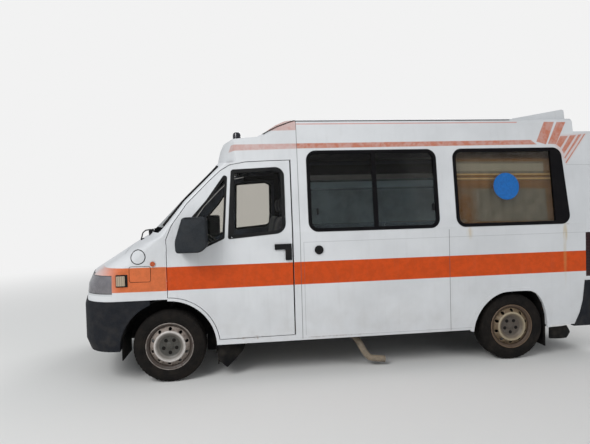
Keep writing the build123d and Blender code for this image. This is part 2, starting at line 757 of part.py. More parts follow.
# Dashboard with the steering wheel
with BuildPart() as dashboard:
    with BuildSketch(Plane.XZ.offset(-890)):
        with BuildLine():
            Polyline((at(-60), 900), (at(-60), 1238), (at(160), 1220), (at(330), 1130), (at(340), 1000),
                     (at(240), 900), close=True)
        make_face()
    extrude(amount=1780)
    with BuildSketch(Plane(origin=(at(420), -430, 1110), z_dir=(1, 0, 0.75), x_dir=(0, 1, 0))):
        Circle(195)
        Circle(172, mode=Mode.SUBTRACT)
        Rectangle(350, 50)
        Circle(60)
    extrude(amount=22)
    with BuildSketch(Plane(origin=(at(426), -430, 1118), z_dir=(-1, 0, -0.75), x_dir=(0, 1, 0))):
        Circle(28)
    extrude(amount=210)
named["dashboard"] = dashboard.part

# Seats: one for the driver and a double one beside it
SEATS = [(-640, -180), (-80, 800)]
with BuildPart() as seats:
    for y0, y1 in SEATS:
        with BuildSketch(Plane.XZ.offset(-y1)) as face:
            with BuildLine():
                Polyline((at(520), 760), (at(1000), 760), (at(1140), 1440), (at(1040), 1450), (at(930), 900),
                         (at(520), 910), close=True)
            make_face()
            fillet(face.vertices(), 30)
        extrude(amount=y1 - y0)
    for y in (-410, 130, 590):
        with Locations((at(1112), y, 1540)):
            Box(80, 260, 190)
    for y0, y1 in SEATS:
        add(box_block(560, 1000, y0 + 40, y1 - 40, FLOOR_Z, 760))
named["seats"] = seats.part

# Load space: stretcher, attendants' bench, lockers and window blinds
with BuildPart() as stretcher:
    add(box_block(1700, 3620, -560, -20, 760, 800))
    for s in (1850, 3350):
        add(box_block(s, s + 60, -540, -500, FLOOR_Z, 760))
        add(box_block(s, s + 60, -80, -40, FLOOR_Z, 760))
    add(box_block(1720, 3600, -550, -30, 800, 880))
named["stretcher"] = stretcher.part
with BuildPart() as bench:
    add(box_block(2650, 3800, 470, 950, 678, 900))
named["bench"] = bench.part
with BuildPart() as lockers:
    for side in (-1, 1):
        y0, y1 = sorted((side * 600, side * 860))
        add(box_block(1205, 3780, y0, y1, 2110, 2270))
    add(high_roof.part, mode=Mode.SUBTRACT)
named["lockers"] = lockers.part
with BuildPart() as blinds:
    add(on_sides(WALL + 6, -WALL, rounded([(2660, 1290), (3560, 1290), (3560, 2030), (2660, 2030)], 0), None))
named["blinds"] = blinds.part

# Running gear
with BuildPart() as engine:
    add(box_block(-640, -250, -300, 220, 430, 900))
    add(box_block(-600, -300, 220, 460, 430, 700))
    for y0, y1 in ((-RAIL_Y[0], -300), (460, RAIL_Y[0])):
        add(box_block(-430, -370, y0, y1, 430, FLOOR_Z - FLOOR_THICK))
named["engine"] = engine.part
with BuildPart() as radiator:
    add(box_block(-745, -690, -380, 380, 400, 780))
named["radiator"] = radiator.part
with BuildPart() as front_subframe:
    add(box_block(-120, 120, -RAIL_Y[1], RAIL_Y[1], 330, 400))
    for side in (-1, 1):
        add(box_block(-40, 40, *sorted((side * 540, side * 690)), 205, 240))
        add(box_block(-15, 15, *sorted((side * 690, side * 756)), 205, 240))
        with Locations((FRONT_AXLE_X, side * KINGPIN_Y, 246.1)):
            Cylinder(9, 12.2)
        add(box_block(-90, 160, *sorted((side * 470, side * 540)), 205, 400))
        add(box_block(-620, -120, *sorted((side * 470, side * 520)), 380, 400))
    add(box_block(-745, -560, -520, 520, 350, 400))
named["front_subframe"] = front_subframe.part
with BuildPart() as rear_axle:
    add(side_cylinder(WHEELBASE, TYRE_R, 36, -790, 790))
    for side in (-1, 1):
        add(side_cylinder(WHEELBASE, TYRE_R, 125, *sorted((side * 770, side * 838))))
        add(side_cylinder(WHEELBASE, TYRE_R, 48, *sorted((side * 780, side * 864))))
        add(side_cylinder(WHEELBASE, TYRE_R, HUB_R, *sorted((side * 780, side * (WHEEL_Y + 28)))))
        add(box_block(3160, 3240, *sorted((side * 480, side * 545)), 330, 362))
named["rear_axle"] = rear_axle.part
with BuildPart() as leaf_springs:
    for side in (-1, 1):
        y0, y1 = sorted((side * 485, side * 540))
        with BuildSketch(Plane.XZ.offset(-y1)):
            with BuildLine():
                ThreePointArc((at(2540), 400), (at(3200), 386), (at(3860), 400))
                Line((at(3860), 400), (at(3860), 376))
                ThreePointArc((at(3860), 376), (at(3200), 362), (at(2540), 376))
                Line((at(2540), 376), (at(2540), 400))
            make_face()
        extrude(amount=y1 - y0)
named["leaf_springs"] = leaf_springs.part

EXHAUST_R = 26
with BuildPart() as exhaust:
    with BuildLine() as path:
        FilletPolyline((at(134), -260, 360), (at(350), -260, 290), (at(1650), -260, 290), (at(1700), -700, 270),
                       (at(1800), -840, 190), (at(1900), -850, 120), radius=60)
    with BuildSketch(Plane(origin=(at(134), -260, 360), z_dir=path.wire() % 0)):
        Circle(EXHAUST_R)
    sweep()
    with Locations(Location((at(1150), -260, 290), (0, 90, 0))):
        Cylinder(85, 600)
    add(box_block(900, 940, -275, -245, 350, FLOOR_Z - FLOOR_THICK))
named["exhaust"] = exhaust.part
with BuildPart() as fuel_tank:
    add(box_block(420, 1130, 0, 440, 235, 410))
    fillet(fuel_tank.edges(), 40)
    add(box_block(600, 900, 100, 340, 380, FLOOR_Z - FLOOR_THICK))
named["fuel_tank"] = fuel_tank.part
with BuildPart() as spare_wheel:
    with Locations((at(3660), 0, 300)):
        Cylinder(305, 180)
    fillet(spare_wheel.edges(), 40)
    with Locations((at(3660), 0, 400)):
        Cylinder(40, 160)
named["spare_wheel"] = spare_wheel.part
with BuildPart() as mud_flaps:
    for side in (-1, 1):
        y0, y1 = sorted((side * 770, side * 936))
        add(box_block(ARCH_R, ARCH_R + LINER, y0, y1, 130, ARCH_Z))
        add(box_block(3546, 3556, y0, y1, 105, 300))
named["mud_flaps"] = mud_flaps.part
with BuildPart() as beacons:
    for y in (-640, 640):
        with Locations((at(640), y, 2144)):
            Cylinder(46, 24)
        with Locations((at(640), y, 2182)):
            Cylinder(38, 60)
    add(cab_roof_cap.part, mode=Mode.SUBTRACT)
named["beacons"] = beacons.part

for name, piece in {
    "cab_shell": cab_shell, "front_wings": front_wings, "bonnet": bonnet, "headlamps": headlamps,
    "grille": grille, "front_bumper": front_bumper, "wing_flashers": wing_flashers, "window_seals": window_seals,
    "side_glass": side_glass, "windscreen": windscreen, "wipers": wipers, "load_shell": load_shell,
    "tail_lamps": tail_lamps, "side_door": side_door, "high_roof": high_roof, "cab_roof_cap": cab_roof_cap,
    "rear_bumper": rear_bumper,
}.items():
    named[name] = piece.part
for name, solid in named.items():
    solid.label = name
    export_step(solid, f"parts/{name}.step")
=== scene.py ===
"""The looks of a white van-based ambulance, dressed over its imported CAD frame."""

import logging
import math
from dataclasses import dataclass
from enum import IntEnum
from functools import reduce

import bmesh
import bpy
from mathutils import Matrix, Vector
from mathutils.bvhtree import BVHTree
from mathutils.geometry import interpolate_bezier


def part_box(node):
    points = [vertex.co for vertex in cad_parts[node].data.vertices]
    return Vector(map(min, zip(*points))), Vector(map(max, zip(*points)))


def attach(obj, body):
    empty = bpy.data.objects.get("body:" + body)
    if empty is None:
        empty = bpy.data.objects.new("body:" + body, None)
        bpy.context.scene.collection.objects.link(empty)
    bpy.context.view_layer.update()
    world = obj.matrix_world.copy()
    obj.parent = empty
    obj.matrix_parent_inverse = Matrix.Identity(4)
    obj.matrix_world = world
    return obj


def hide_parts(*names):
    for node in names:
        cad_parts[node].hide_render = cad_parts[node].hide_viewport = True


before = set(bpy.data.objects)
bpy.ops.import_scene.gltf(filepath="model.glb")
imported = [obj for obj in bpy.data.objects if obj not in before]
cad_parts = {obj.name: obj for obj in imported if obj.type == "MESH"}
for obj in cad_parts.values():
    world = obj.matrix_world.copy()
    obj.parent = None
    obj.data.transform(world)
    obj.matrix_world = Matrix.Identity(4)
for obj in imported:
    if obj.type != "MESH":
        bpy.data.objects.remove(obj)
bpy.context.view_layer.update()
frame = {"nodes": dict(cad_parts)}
LOG = logging.getLogger("ambulance")

FRONT_AXLE = -1.6175  # the frame's x of the front axle, in metres
WHEELBASE = 3200  # in millimetres
HUB_HEIGHT = 0.318
HALF_WIDTH = 0.999
BELT = 1.289  # the height above which the sides lean in
LEAN = 0.1116  # how far they lean in for each metre above the belt
SCREEN_FOOT = 1.318
SCREEN_HALF = 0.895  # half of the screen's width at its foot
SCREEN_LEAN = 0.114  # how much of it each metre above the foot takes away
WAVE = 314.16  # a wave texture of this scale has a period of one millimetre
AFT, OUT, UP, AHEAD = (1, 0, 0), (0, 1, 0), (0, 0, 1), (-1, 0, 0)
UPRIGHT = Matrix.Rotation(math.pi / 2, 4, "X")  # stands a flat shape up in the plane of x and z

EDGE_ANGLE = 35  # in degrees: a sharper edge is bevelled and shades as an edge

Corners = tuple[tuple[float, float], ...]  # stations and heights in millimetres
Section = tuple[tuple[float, float], ...]  # radii and distances along an axle in metres
Point = tuple[float, float, float]  # a place, a step or a stretch along the frame's axes, in metres
Stop = tuple[float, float, float]  # a station in millimetres, then y and z in metres
Band = tuple[float, float, float]  # a lower and an upper height in millimetres, and half its edge in metres


class Side(IntEnum):
    """A side of the vehicle, as the sign of its y."""

    LEFT = -1
    RIGHT = 1

    @property
    def word(self) -> str:
        """The side's word in a piece's name."""
        return self.name.lower()


def at(station: float) -> float:
    """The frame's x in metres of a station in millimetres behind the front axle."""
    return FRONT_AXLE + station / 1000


def wall_reach(height: float, inset: float) -> float:
    """How far from the middle the leaning side wall lies at a height, less an inset in metres."""
    return HALF_WIDTH - LEAN * max(0.0, height - BELT) - inset


def linear(code: str) -> tuple[float, float, float, float]:
    """Turns an sRGB hex value into the linear colour that a shader reads.

    Args:
        code: The colour as six hex digits.

    Returns:
        The linear red, green, blue and an alpha of one.
    """
    parts = [int(code[i:i + 2], 16) / 255 for i in (0, 2, 4)]
    return tuple(p / 12.92 if p <= 0.04045 else ((p + 0.055) / 1.055) ** 2.4 for p in parts) + (1.0,)


def shade(code: str, factor: float) -> str:
    """A hex colour made darker or lighter by a factor."""
    return "".join(f"{min(255, int(int(code[i:i + 2], 16) * factor)):02x}" for i in (0, 2, 4))


def add_node(tree: bpy.types.NodeTree, kind: str, settings: dict | None = None) -> bpy.types.Node:
    """Adds one node to a tree with its settings and links.

    Args:
        tree: The node tree.
        kind: The node's type, without the word ShaderNode.
        settings: What each input gets, by name or number, and what each attribute of the node gets. A socket
            is linked, a hex colour is made linear, and any other value is set.

    Returns:
        The new node.
    """
    node = tree.nodes.new("ShaderNode" + kind)
    for key, value in (settings or {}).items():
        if isinstance(key, str) and key not in node.inputs:
            setattr(node, key, value)
        elif isinstance(value, bpy.types.NodeSocket):
            tree.links.new(value, node.inputs[key])
        else:
            node.inputs[key].default_value = linear(value) if isinstance(value, str) else value
    return node


class Pattern:
    """Masks and colours on the Object coordinates of one material.

    A mask is 1 where a colour lies and 0 where it doesn't. A number may stand for a mask.
    """

    def __init__(self, tree: bpy.types.NodeTree) -> None:
        """Keeps the tree and its coordinate sockets."""
        self.tree = tree
        coords = add_node(tree, "TexCoord")
        self.place = coords.outputs["Object"]
        self.normal = coords.outputs["Normal"]

    def reckon(self, operation: str, *terms, clamp: bool = False) -> bpy.types.NodeSocket:
        """Works one step of arithmetic over sockets and numbers.

        Args:
            operation: The arithmetic.
            terms: Sockets or numbers.
            clamp: Whether the result is held between 0 and 1.

        Returns:
            The result's socket.
        """
        settings = {"operation": operation, "use_clamp": clamp} | dict(enumerate(terms))
        return add_node(self.tree, "Math", settings).outputs[0]

    def both(self, *masks):
        """Where all of some masks are strong: their product."""
        return reduce(lambda a, b: self.reckon("MULTIPLY", a, b), masks)

    def either(self, *masks):
        """Where any of some masks is strong: their greatest."""
        return reduce(lambda a, b: self.reckon("MAXIMUM", a, b), masks)

    def within(self, *masks):
        """Where edge masks enclose a place: their least."""
        return reduce(lambda a, b: self.reckon("MINIMUM", a, b), masks)

    def scaled(self, value, by: float, plus: float, clamp: bool = False) -> bpy.types.NodeSocket:
        """A value times one number, plus another."""
        return self.reckon("MULTIPLY_ADD", value, by, plus, clamp=clamp)

    def length(self, first, second) -> bpy.types.NodeSocket:
        """The length of a step whose two parts are given."""
        squares = [self.reckon("POWER", part, 2.0) for part in (first, second)]
        return self.reckon("SQRT", self.reckon("ADD", *squares))

    def ramp(self, value, low: float, high: float, smooth: bool = True) -> bpy.types.NodeSocket:
        """A mask that rises from 0 at low to 1 at high."""
        kind = "SMOOTHSTEP" if smooth else "LINEAR"
        return add_node(self.tree, "MapRange", {"interpolation_type": kind, "Value": value,
                                                "From Min": low, "From Max": high}).outputs[0]

    def along(self, direction: Point, of=None) -> bpy.types.NodeSocket:
        """How far a place, or another vector, lies along a direction."""
        return add_node(self.tree, "VectorMath", {"operation": "DOT_PRODUCT", 0: of or self.place,
                                                  1: direction}).outputs["Value"]

    def polygon(self, corners: Corners, edge: float = 0.002) -> bpy.types.NodeSocket:
        """A mask of a convex outline seen from the side.

        Args:
            corners: Station and height of each corner in millimetres, in order.
            edge: Half of the edge's softness in metres.

        Returns:
            The mask's socket.
        """
        spots = [Vector((at(s), z / 1000)) for s, z in corners]
        middle = sum(spots, Vector((0, 0))) / len(spots)
        sides = []
        for a, b in zip(spots, spots[1:] + spots[:1]):
            inward = Vector((b.y - a.y, a.x - b.x)).normalized()
            if inward.dot(middle - a) < 0:
                inward.negate()
            start = inward.dot(a)
            sides.append(self.ramp(self.along((inward.x, 0, inward.y)), start - edge, start + edge, False))
        return self.within(*sides)

    def polygons(self, outlines: tuple[Corners, ...], edge: float = 0.002):
        """A mask of several convex outlines together."""
        return self.either(*(self.polygon(corners, edge) for corners in outlines))

    def spot(self, station: float, height: float, wide: float, high: float, power: float = 1.0):
        """A soft round or long blot on the side, fading from its middle.

        Args:
            station: Its middle's station in millimetres.
            height: Its middle's height in millimetres.
            wide: Half of its width in millimetres.
            high: Half of its height in millimetres.
            power: Its strength at the middle.

        Returns:
            The mask's socket.
        """
        everywhere = 1000.0  # across the vehicle the blot has no end
        shift = add_node(self.tree, "Mapping", {
            "vector_type": "TEXTURE", "Vector": self.place, "Location": (at(station), 0, height / 1000),
            "Scale": (wide / 1000, everywhere, high / 1000)}).outputs[0]
        reach = add_node(self.tree, "VectorMath", {"operation": "LENGTH", 0: shift}).outputs["Value"]
        return self.both(self.ramp(reach, 1.0, 0.15), power)

    def noise(self, millimetres: float, detail: float = 3, stretch: Point = (1, 1, 1), low: float = 0.0,
              high: float = 1.0, roughness: float = 0.55) -> bpy.types.NodeSocket:
        """Cloudy variation at a real size.

        Args:
            millimetres: The size of one cloud.
            detail: How many finer levels it has.
            stretch: How much longer a cloud is along each axis.
            low: The level that becomes 0.
            high: The level that becomes 1.
            roughness: How strong the finer levels are.

        Returns:
            The pattern's socket.
        """
        sized = add_node(self.tree, "Mapping", {"Vector": self.place, "Scale": tuple(1 / s for s in stretch)})
        cloud = add_node(self.tree, "TexNoise", {"Vector": sized.outputs[0], "Scale": 1000 / millimetres,
                                                 "Detail": detail, "Roughness": roughness}).outputs[0]
        return cloud if (low, high) == (0.0, 1.0) else self.ramp(cloud, low, high)

    def wave(self, axis: str, millimetres: float, distortion: float = 0.0) -> bpy.types.NodeSocket:
        """Ridges that follow each other along an axis at a real spacing."""
        return add_node(self.tree, "TexWave", {"bands_direction": axis, "Vector": self.place,
                                               "Scale": WAVE / millimetres,
                                               "Distortion": distortion}).outputs["Fac"]

    def lay(self, below, above, *masks) -> bpy.types.NodeSocket:
        """Lays a colour over another where all masks are strong; a colour is a hex code or a socket."""
        return add_node(self.tree, "Mix", {"data_type": "RGBA", 0: self.both(*masks), 6: below,
                                           7: above}).outputs[2]

    def clouded(self, colour: str, millimetres: float, darkest: float, detail: float = 4, high: float = 0.7):
        """A colour that clouds of a real size darken, at most to a share of it."""
        return self.lay(colour, shade(colour, darkest), self.noise(millimetres, detail, low=0.3, high=high))

    def bump(self, height, millimetres: float, strength: float = 1.0) -> bpy.types.NodeSocket:
        """A bump of a real depth."""
        return add_node(self.tree, "Bump", {"Height": height, "Strength": strength,
                                            "Distance": millimetres / 1000}).outputs[0]

    def feed(self, shader: bpy.types.Node, sockets: dict[str, bpy.types.NodeSocket]) -> None:
        """Links sockets to a shader's inputs by name."""
        for name, socket in sockets.items():
            self.tree.links.new(socket, shader.inputs[name])


@dataclass(frozen=True)
class Finish:
    """A finish: its plain colour, how rough and how metallic it is, and the dust on it."""

    name: str
    colour: str
    roughness: float = 0.5
    metallic: float = 0.0
    coat: float = 0.0
    specular: float = 0.5
    dust: float = 0.15
    dust_colour: str = "8a8072"

    def build(self) -> bpy.types.Material:
        """Makes the material with its Principled shader and this finish's pattern."""
        material = bpy.data.materials.new(self.name)
        material.use_nodes = True
        tree = material.node_tree
        tree.nodes.clear()
        shader = add_node(tree, "BsdfPrincipled", {
            "Base Color": self.colour, "Roughness": self.roughness, "Metallic": self.metallic,
            "Coat Weight": self.coat, "Specular IOR Level": self.specular})
        self.pattern(Pattern(tree), shader)
        add_node(tree, "OutputMaterial", {"Surface": self.surface(tree, shader)})
        return material

    def surface(self, tree: bpy.types.NodeTree, shader: bpy.types.Node) -> bpy.types.NodeSocket:
        """The socket that feeds the material's surface."""
        return shader.outputs[0]

    def dusted(self, pattern: Pattern, colour) -> bpy.types.NodeSocket:
        """Lays dust over a colour: more of it low down and in the hollows of a cloud."""
        low = pattern.scaled(pattern.ramp(pattern.along(UP), 0.9, 0.1), 0.7, 0.3)
        cloud = pattern.noise(90, 5, low=0.35, high=0.75)
        return pattern.lay(colour, self.dust_colour, low, cloud, self.dust)

    def pattern(self, pattern: Pattern, shader: bpy.types.Node) -> None:
        """Colour clouds, dust and a fine uneven gloss."""
        rough = pattern.scaled(pattern.noise(35, 3), 0.25, self.roughness - 0.1, clamp=True)
        pattern.feed(shader, {"Base Color": self.dusted(pattern, pattern.clouded(self.colour, 14, 0.86)),
                              "Roughness": rough})


@dataclass(frozen=True)
class MouldedPlastic(Finish):
    """Polypropylene or ABS with a moulded spark-eroded grain, which scatters its highlights."""

    grain: float = 2.5
    depth: float = 0.12

    def pattern(self, pattern: Pattern, shader: bpy.types.Node) -> None:
        """The grain as a bump and the dust that sits in it; grain is drawn coarse enough to show."""
        super().pattern(pattern, shader)
        pattern.feed(shader, {"Normal": pattern.bump(pattern.noise(self.grain, 2), self.depth, 0.6)})


@dataclass(frozen=True)
class WovenCloth(Finish):
    """Polyester seat cloth: crossed threads with a soft sheen at glancing angles."""

    thread: float = 2.2
    second: str = "20242e"

    def pattern(self, pattern: Pattern, shader: bpy.types.Node) -> None:
        """Crossed threads by two waves and slow fading; threads are drawn wider so that they show."""
        weave = pattern.both(*(pattern.wave(axis, self.thread, 0.6) for axis in ("X", "Z")))
        worn = pattern.noise(120, 4, low=0.35, high=0.7)
        tone = pattern.lay(self.colour, self.second, weave)
        tone = pattern.lay(tone, shade(self.colour, 1.35), worn, 0.35)
        shader.inputs["Sheen Weight"].default_value = 0.25
        shader.inputs["Sheen Roughness"].default_value = 0.5
        pattern.feed(shader, {"Base Color": tone, "Normal": pattern.bump(weave, 0.4, 0.5)})


@dataclass(frozen=True)
class Metal(Finish):
    """Bare or painted steel and cast alloy: rust in clouds takes its shine away."""

    rust: float = 0.3
    rust_size: float = 60
    rust_colour: str = "5b3320"
    rust_roughness: float = 0.9

    def pattern(self, pattern: Pattern, shader: bpy.types.Node) -> None:
        """Rust clouds over the tone, dull where they lie."""
        cloud = pattern.noise(self.rust_size, 8, low=0.72 - 0.35 * self.rust, high=0.86 - 0.3 * self.rust,
                              roughness=0.7)
        tone = pattern.lay(pattern.clouded(self.colour, 20, 0.8), self.rust_colour, cloud)
        sockets = {"Base Color": self.dusted(pattern, tone),
                   "Roughness": pattern.scaled(cloud, self.rust_roughness - self.roughness, self.roughness),
                   "Normal": pattern.bump(cloud, 0.4, 0.4)}
        if self.metallic:
            sockets["Metallic"] = pattern.scaled(cloud, -self.metallic, self.metallic)
        pattern.feed(shader, sockets)


@dataclass(frozen=True)
class TintedGlass(Finish):
    """Toughened float glass, faintly green, with a dusty film that pales it."""

    film: float = 0.05
    index: float = 1.45
    haze: str = "8b9ea6"
    haze_corners: Corners = ((1230, 1290), (2520, 1290), (2520, 1745), (1230, 1730))

    def pattern(self, pattern: Pattern, shader: bpy.types.Node) -> None:
        """Clear glass whose roughness carries the dust film."""
        shader.inputs["Transmission Weight"].default_value = 1.0
        shader.inputs["IOR"].default_value = self.index
        film = pattern.noise(160, 5, stretch=(1, 1, 2.5), low=0.35, high=0.8)
        pattern.feed(shader, {"Roughness": pattern.scaled(film, self.film, self.roughness)})

    def surface(self, tree: bpy.types.NodeTree, shader: bpy.types.Node) -> bpy.types.NodeSocket:
        """Dust on the first side pane's lower half, and lamp light let straight through, as by thin glass."""
        p = Pattern(tree)
        settled = p.both(p.polygon(self.haze_corners, 0.02),
                         p.scaled(p.noise(220, 5, low=0.25, high=0.75), 0.035, 0.03))
        dust = add_node(tree, "BsdfDiffuse", {"Color": self.haze})
        dusty = add_node(tree, "MixShader", {0: settled, 1: shader.outputs[0], 2: dust.outputs[0]})
        clear = add_node(tree, "BsdfTransparent", {"Color": self.colour})
        shadow = add_node(tree, "LightPath").outputs["Is Shadow Ray"]
        return add_node(tree, "MixShader", {0: shadow, 1: dusty.outputs[0], 2: clear.outputs[0]}).outputs[0]


@dataclass(frozen=True)
class ScreenGlass(TintedGlass):
    """Laminated screen glass with the black ceramic border that hides its glue line."""

    border: float = 0.045
    top: float = 1.965
    crown: float = 0.0875
    enamel: str = "0e0f11"

    def surface(self, tree: bpy.types.NodeTree, shader: bpy.types.Node) -> bpy.types.NodeSocket:
        """Black enamel round the edge, clear glass within."""
        p = Pattern(tree)
        edge = 0.002
        height, across = p.along(UP), p.reckon("ABSOLUTE", p.along(OUT))
        outer = SCREEN_HALF + SCREEN_LEAN * SCREEN_FOOT - self.border
        upper, lower = self.top - self.border, SCREEN_FOOT + self.border
        mask = p.either(
            p.ramp(p.scaled(height, SCREEN_LEAN, across), outer, outer + edge, False),
            p.ramp(p.scaled(p.reckon("POWER", across, 2.0), self.crown, height), upper, upper + edge, False),
            p.ramp(height, lower + edge, lower, False))
        black = add_node(tree, "BsdfPrincipled", {"Base Color": self.enamel, "Roughness": 0.6,
                                                  "Specular IOR Level": 0.0})
        return add_node(tree, "MixShader", {0: mask, 1: super().surface(tree, shader),
                                            2: black.outputs[0]}).outputs[0]


@dataclass(frozen=True)
class RibbedLens(Finish):
    """Moulded lamp lens: clear or coloured acrylic with vertical flutes over a bright reflector."""

    flute: float = 9.0
    across: str = "DIAGONAL"

    def pattern(self, pattern: Pattern, shader: bpy.types.Node) -> None:
        """Flutes as a bump, with painted shade in the gaps between them."""
        wave = pattern.wave(self.across, self.flute)
        # painted shade in the gaps between the flutes
        tone = pattern.lay(self.colour, shade(self.colour, 0.55), wave, 0.5)
        shader.inputs["Coat Weight"].default_value = 0.25
        shader.inputs["Coat Roughness"].default_value = 0.05
        pattern.feed(shader, {"Base Color": self.dusted(pattern, tone), "Normal": pattern.bump(wave, 1.0, 0.5)})


@dataclass(frozen=True)
class HeadlampLens(Finish):
    """Clear acrylic over a silvered bowl: fine vertical flutes, a dark seam and a painted panel under it."""

    flute: float = 7.0
    panel: str = "bfc1c3"
    seam: str = "26282a"
    seam_width: float = 0.006
    foot: float = 0.812
    top: float = 0.9615
    inner: float = 0.534
    bowl: tuple[float, float] = (0.665, 0.886)

    def pattern(self, pattern: Pattern, shader: bpy.types.Node) -> None:
        """The lens between its two heights, with a painted highlight in its bowl, and painted shade round the
        bowl's edge and between its flutes.
        """
        p = pattern
        edge = 0.0015
        height, across = p.along(UP), p.reckon("ABSOLUTE", p.along(OUT))
        lens, ring = [p.within(p.ramp(height, self.foot - grow, self.foot + edge - grow, False),
                               p.ramp(height, self.top + grow, self.top - edge + grow, False),
                               p.ramp(across, self.inner - grow, self.inner + edge - grow, False))
                      for grow in (0.0, self.seam_width)]
        turn = p.both(p.reckon("SUBTRACT", across, p.along(AFT)), 2000 * math.pi / self.flute)
        flutes = p.scaled(p.reckon("SINE", turn), 0.5, 0.5)
        bowl = p.length(p.reckon("SUBTRACT", across, self.bowl[0]), p.reckon("SUBTRACT", height, self.bowl[1]))
        rim = p.both(p.ramp(bowl, 0.058, 0.061), p.ramp(bowl, 0.068, 0.064))
        tone = p.clouded(self.colour, 60, 0.88)
        # painted highlight: the bowl lighter towards its middle
        tone = p.lay(tone, shade(self.colour, 1.25), p.ramp(bowl, 0.062, 0.02))
        # painted shade round the bowl's edge, then painted shade between the flutes
        tone = p.lay(tone, shade(self.colour, 0.45), rim, 0.6)
        tone = p.lay(tone, shade(self.colour, 0.6), flutes, 0.22)
        p.feed(shader, {"Base Color": p.lay(p.lay(self.panel, self.seam, ring), self.dusted(p, tone), lens),
                        "Roughness": p.scaled(lens, self.roughness - 0.5, 0.5),
                        "Normal": p.bump(p.both(flutes, lens), 0.5, 0.4)})


